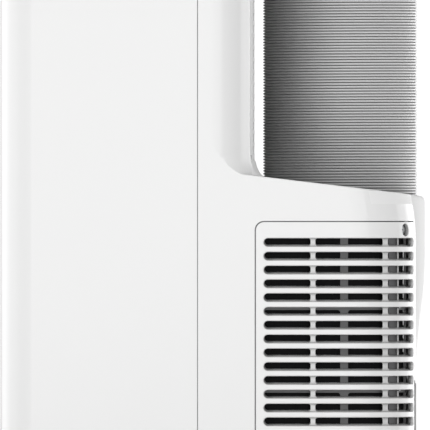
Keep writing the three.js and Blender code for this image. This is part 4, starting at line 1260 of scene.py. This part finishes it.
# ------------------------------------------------------------------ which pieces stand for which CAD nodes
for ob, w, ang in ((rear, 0, 30), (front, 0, 30), (grille, 0, 30), (grille_l, 0, 30), (upper, 0, 30), (cover, 0, 30), (base, 0, 30),
                   (adapter, 0, 30), (socket, 0, 30), (seal, 0, 30), (ufilter, 0, 30), (unet, 0, 30), (sfilter, 0, 30), (snet, 0, 30), (screw, 0, 30)):
    soften(ob, w, sharp=ang)
sfilter_l, snet_l, screw_l = mirror(sfilter, "f"), mirror(snet, "n"), mirror(screw, "s")
piece(rear, "rear_casing_v", M_SHELL, "chassis", "shell", "rear_casing")
# the bulge and the bay's back wall have a matt grain
rear.data.materials.append(M_MATT)
for f in rear.data.polygons:
    c = f.center * 1000
    if c.y > 37.5 and 440 < c.z < 510 and f.normal.y > 0.3 and abs(c.x) < HALF_W - 4:
        f.material_index = 1
    if abs(c.x) < WALL_X + 3 and 33 < c.y < UPPER_REAR_Y + BOW + 1 and c.z > 470 and f.normal.y > 0.985:
        f.material_index = 1
    if c.z > 225 and c.y > REAR_Y - float(inset(c.y, c.z)) + 0.05 and math.hypot(c.x, c.y - HOSE_Y) < BULGE_R + 1:
        f.material_index = 1
piece(front, "front_casing_v", M_SHELL, "chassis", "shell", "front_casing")
piece(cover, "top_cover_v", M_SHELL, "chassis", "shell", "top_cover")
piece(base, "base_pan_v", M_BASE, "chassis", "base", "base_pan")
piece(upper, "upper_grille_v", M_MATT, "chassis", "shell", "upper_grille")
piece(socket, "hose_socket_v", M_ADAPTER, "chassis", "adapter", "hose_socket")
piece(adapter, "window_adapter_v", M_ADAPTER, "adapter", "adapter", "window_adapter")
for side, g, f, n, c in (("right", grille, sfilter, snet, screw), ("left", grille_l, sfilter_l, snet_l, screw_l)):
    piece(g, "side_grille_" + side + "_v", M_GRILLE, "chassis", "shell", "side_grille_" + side)
    piece(f, "side_filter_frame_" + side, M_FILTER, "chassis", "filter", "side_filter_" + side)
    piece(n, "side_filter_net_" + side, M_NET, "chassis", "filter")
    piece(c, "grille_screw_" + side + "_v", M_STEEL, "chassis", "steel", "grille_screw_" + side)
piece(ufilter, "upper_filter_frame", M_FILTER, "filter", "filter", "upper_filter")
piece(unet, "upper_filter_net", M_UPPER_NET, "filter", "filter")
piece(seal, "rear_panel_seal", M_SEAL, "chassis", "rubber")
hose.name = "hose_duct"
hose.data.materials.append(M_HOSE)
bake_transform(hose)
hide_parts("exhaust_hose")

# ------------------------------------------------------------------ CAD nodes that keep their own shape
for name, material, width in (
        ("control_panel", M_PANEL, 0.8), ("display_lens", M_LENS, 0.3), ("control_board", M_BOARD, 0.2),
        ("outlet_frame", M_DUCT, 0.5), ("outlet_flap", M_SHELL, 0.5), ("vane_link", M_DUCT, 0.5),
        ("handle_right", M_SHELL, 0.8), ("handle_left", M_SHELL, 0.8), ("rear_lower_panel", M_SHELL, 0.5),
        ("cord_gland", M_RUBBER, 0.6), ("drain_cap", M_RUBBER, 1.0),
        ("compressor", M_ENAMEL, 1.5), ("condenser_coil", M_FINS_Z, 0.4), ("evaporator_coil", M_FINS_Z, 0.4),
        ("evap_scroll", M_DUCT, 0.6), ("cond_scroll", M_DUCT, 0.6), ("evap_wheel", M_FAN, 0.2), ("cond_wheel", M_FAN, 0.2),
        ("evap_motor", M_STEEL, 0.8), ("cond_motor", M_STEEL, 0.8), ("drain_tray", M_DUCT, 0.6), ("electrical_box", M_BASE, 0.8),
        ("discharge_pipe", M_COPPER, 0.3), ("suction_pipe", M_COPPER, 0.3)):
    shape_node(name, width)
    paint(name, material)
for i in range(1, 5):
    shape_node("vane_%d" % i, 0.4)
    paint("vane_%d" % i, M_DUCT)
for k in ("power", "mode", "fan", "down", "up"):
    shape_node("button_" + k, 0.8, 3)
    paint("button_" + k, M_BUTTON)
for k in ("fl", "fr", "rl", "rr"):
    shape_node("caster_fork_" + k, 0.8)
    paint("caster_fork_" + k, M_FORK)
    shape_node("caster_wheel_" + k, 1.4, 3)
    paint("caster_wheel_" + k, M_RUBBER)
    shape_node("caster_axle_" + k, 0.4)
    paint("caster_axle_" + k, M_STEEL)

# ------------------------------------------------------------------ floor and light
floor = turned("floor", [(0, -0.02), (700, -0.02), (700, -6.0), (0, -6.0)], "Z", (0, 0), 96, closed=False)
m, t, b = nodes_of("floor_pale")
co = t.nodes.new("ShaderNodeTexCoord").outputs["Object"]
link(t, ramp(t, noise(t, co, 3.0, 2.0), [(0.3, (0.80, 0.80, 0.80)), (0.7, (0.83, 0.83, 0.83))]), b.inputs["Base Color"])
b.inputs["Roughness"].default_value = 0.9
floor.data.materials.append(m)

# soft boxes all round: brightness against azimuth in degrees from +X to +Y, as hard bands near the horizon and a soft sky above and below them
BANDS = [(-180, 0.47), (-143, 1.5), (-125, 2.0), (-103, 1.3), (-92, 0.9), (-80, 0.55), (-58.8, 0.12), (-40, 0.30), (-20, 0.89), (-5.4, 2.11), (5, 1.85), (18, 1.70),
         (31.4, 0.42), (50, 0.15), (70, 0.05), (96.5, 1.1), (102, 1.5), (110, 1.6), (120, 2.3), (127, 2.9), (145, 2.2), (160, 1.5), (171, 1.0)]
SKY = [(-180, 0.9), (-140, 1.0), (-100, 1.22), (-60, 1.25), (-20, 1.15), (20, 0.93), (60, 0.65), (100, 0.6), (140, 0.7), (180, 0.85)]
BLEND = (0.16, 0.42)  # sine of the elevation where the bands end and the sky has taken over
ZENITH = 0.55  # the sky straight up or down, against its value near the horizon
LIGHT = 1.115
PEAK = 3.0


def studio():
    w = bpy.data.worlds.new("studio")
    scene.world = w
    w.use_nodes = True
    t = w.node_tree
    t.nodes.clear()
    out = t.nodes.new("ShaderNodeOutputWorld")
    bg = t.nodes.new("ShaderNodeBackground")
    bg2 = t.nodes.new("ShaderNodeBackground")
    mix = t.nodes.new("ShaderNodeMixShader")
    lp = t.nodes.new("ShaderNodeLightPath")
    co = t.nodes.new("ShaderNodeTexCoord")
    xyz = t.nodes.new("ShaderNodeSeparateXYZ")
    link(t, co.outputs["Generated"], xyz.inputs[0])
    at = t.nodes.new("ShaderNodeMath")
    at.operation = "ARCTAN2"
    link(t, xyz.outputs["Y"], at.inputs[0])
    link(t, xyz.outputs["X"], at.inputs[1])
    u = remap(t, at.outputs[0], -math.pi, math.pi, 0.0, 1.0)
    up = t.nodes.new("ShaderNodeMath")
    up.operation = "ABSOLUTE"
    link(t, xyz.outputs["Z"], up.inputs[0])

    def round_about(stops, how):
        r = t.nodes.new("ShaderNodeValToRGB")
        r.color_ramp.interpolation = how
        e = r.color_ramp.elements
        while len(e) < len(stops):
            e.new(0.99)
        for i, (a, v) in enumerate(stops):
            e[i].position = (a + 180) / 360
            e[i].color = (v / PEAK, v / PEAK, v / PEAK, 1)
        link(t, u, r.inputs["Fac"])
        return r.outputs["Color"]

    low, high = round_about(BANDS, "CONSTANT"), round_about(SKY, "LINEAR")
    fall = remap(t, up.outputs[0], BLEND[1], 1.0, 1.0, ZENITH)
    high = mixed(t, 1.0, high, ramp(t, fall, [(0.0, 0.0), (1.0, 1.0)]), "MULTIPLY")
    col = mixed(t, remap(t, up.outputs[0], BLEND[0], BLEND[1], 0.0, 1.0), low, high)
    link(t, col, bg.inputs["Color"])
    bg.inputs["Strength"].default_value = PEAK * LIGHT
    bg2.inputs["Color"].default_value = (1, 1, 1, 1)
    bg2.inputs["Strength"].default_value = 1.05
    link(t, lp.outputs["Is Camera Ray"], mix.inputs["Fac"])
    link(t, bg.outputs[0], mix.inputs[1])
    link(t, bg2.outputs[0], mix.inputs[2])
    link(t, mix.outputs[0], out.inputs["Surface"])


studio()
scene.view_settings.view_transform = "Standard"
scene.view_settings.look = "None"
scene.view_settings.exposure = 0.0
scene.view_settings.gamma = 1.0
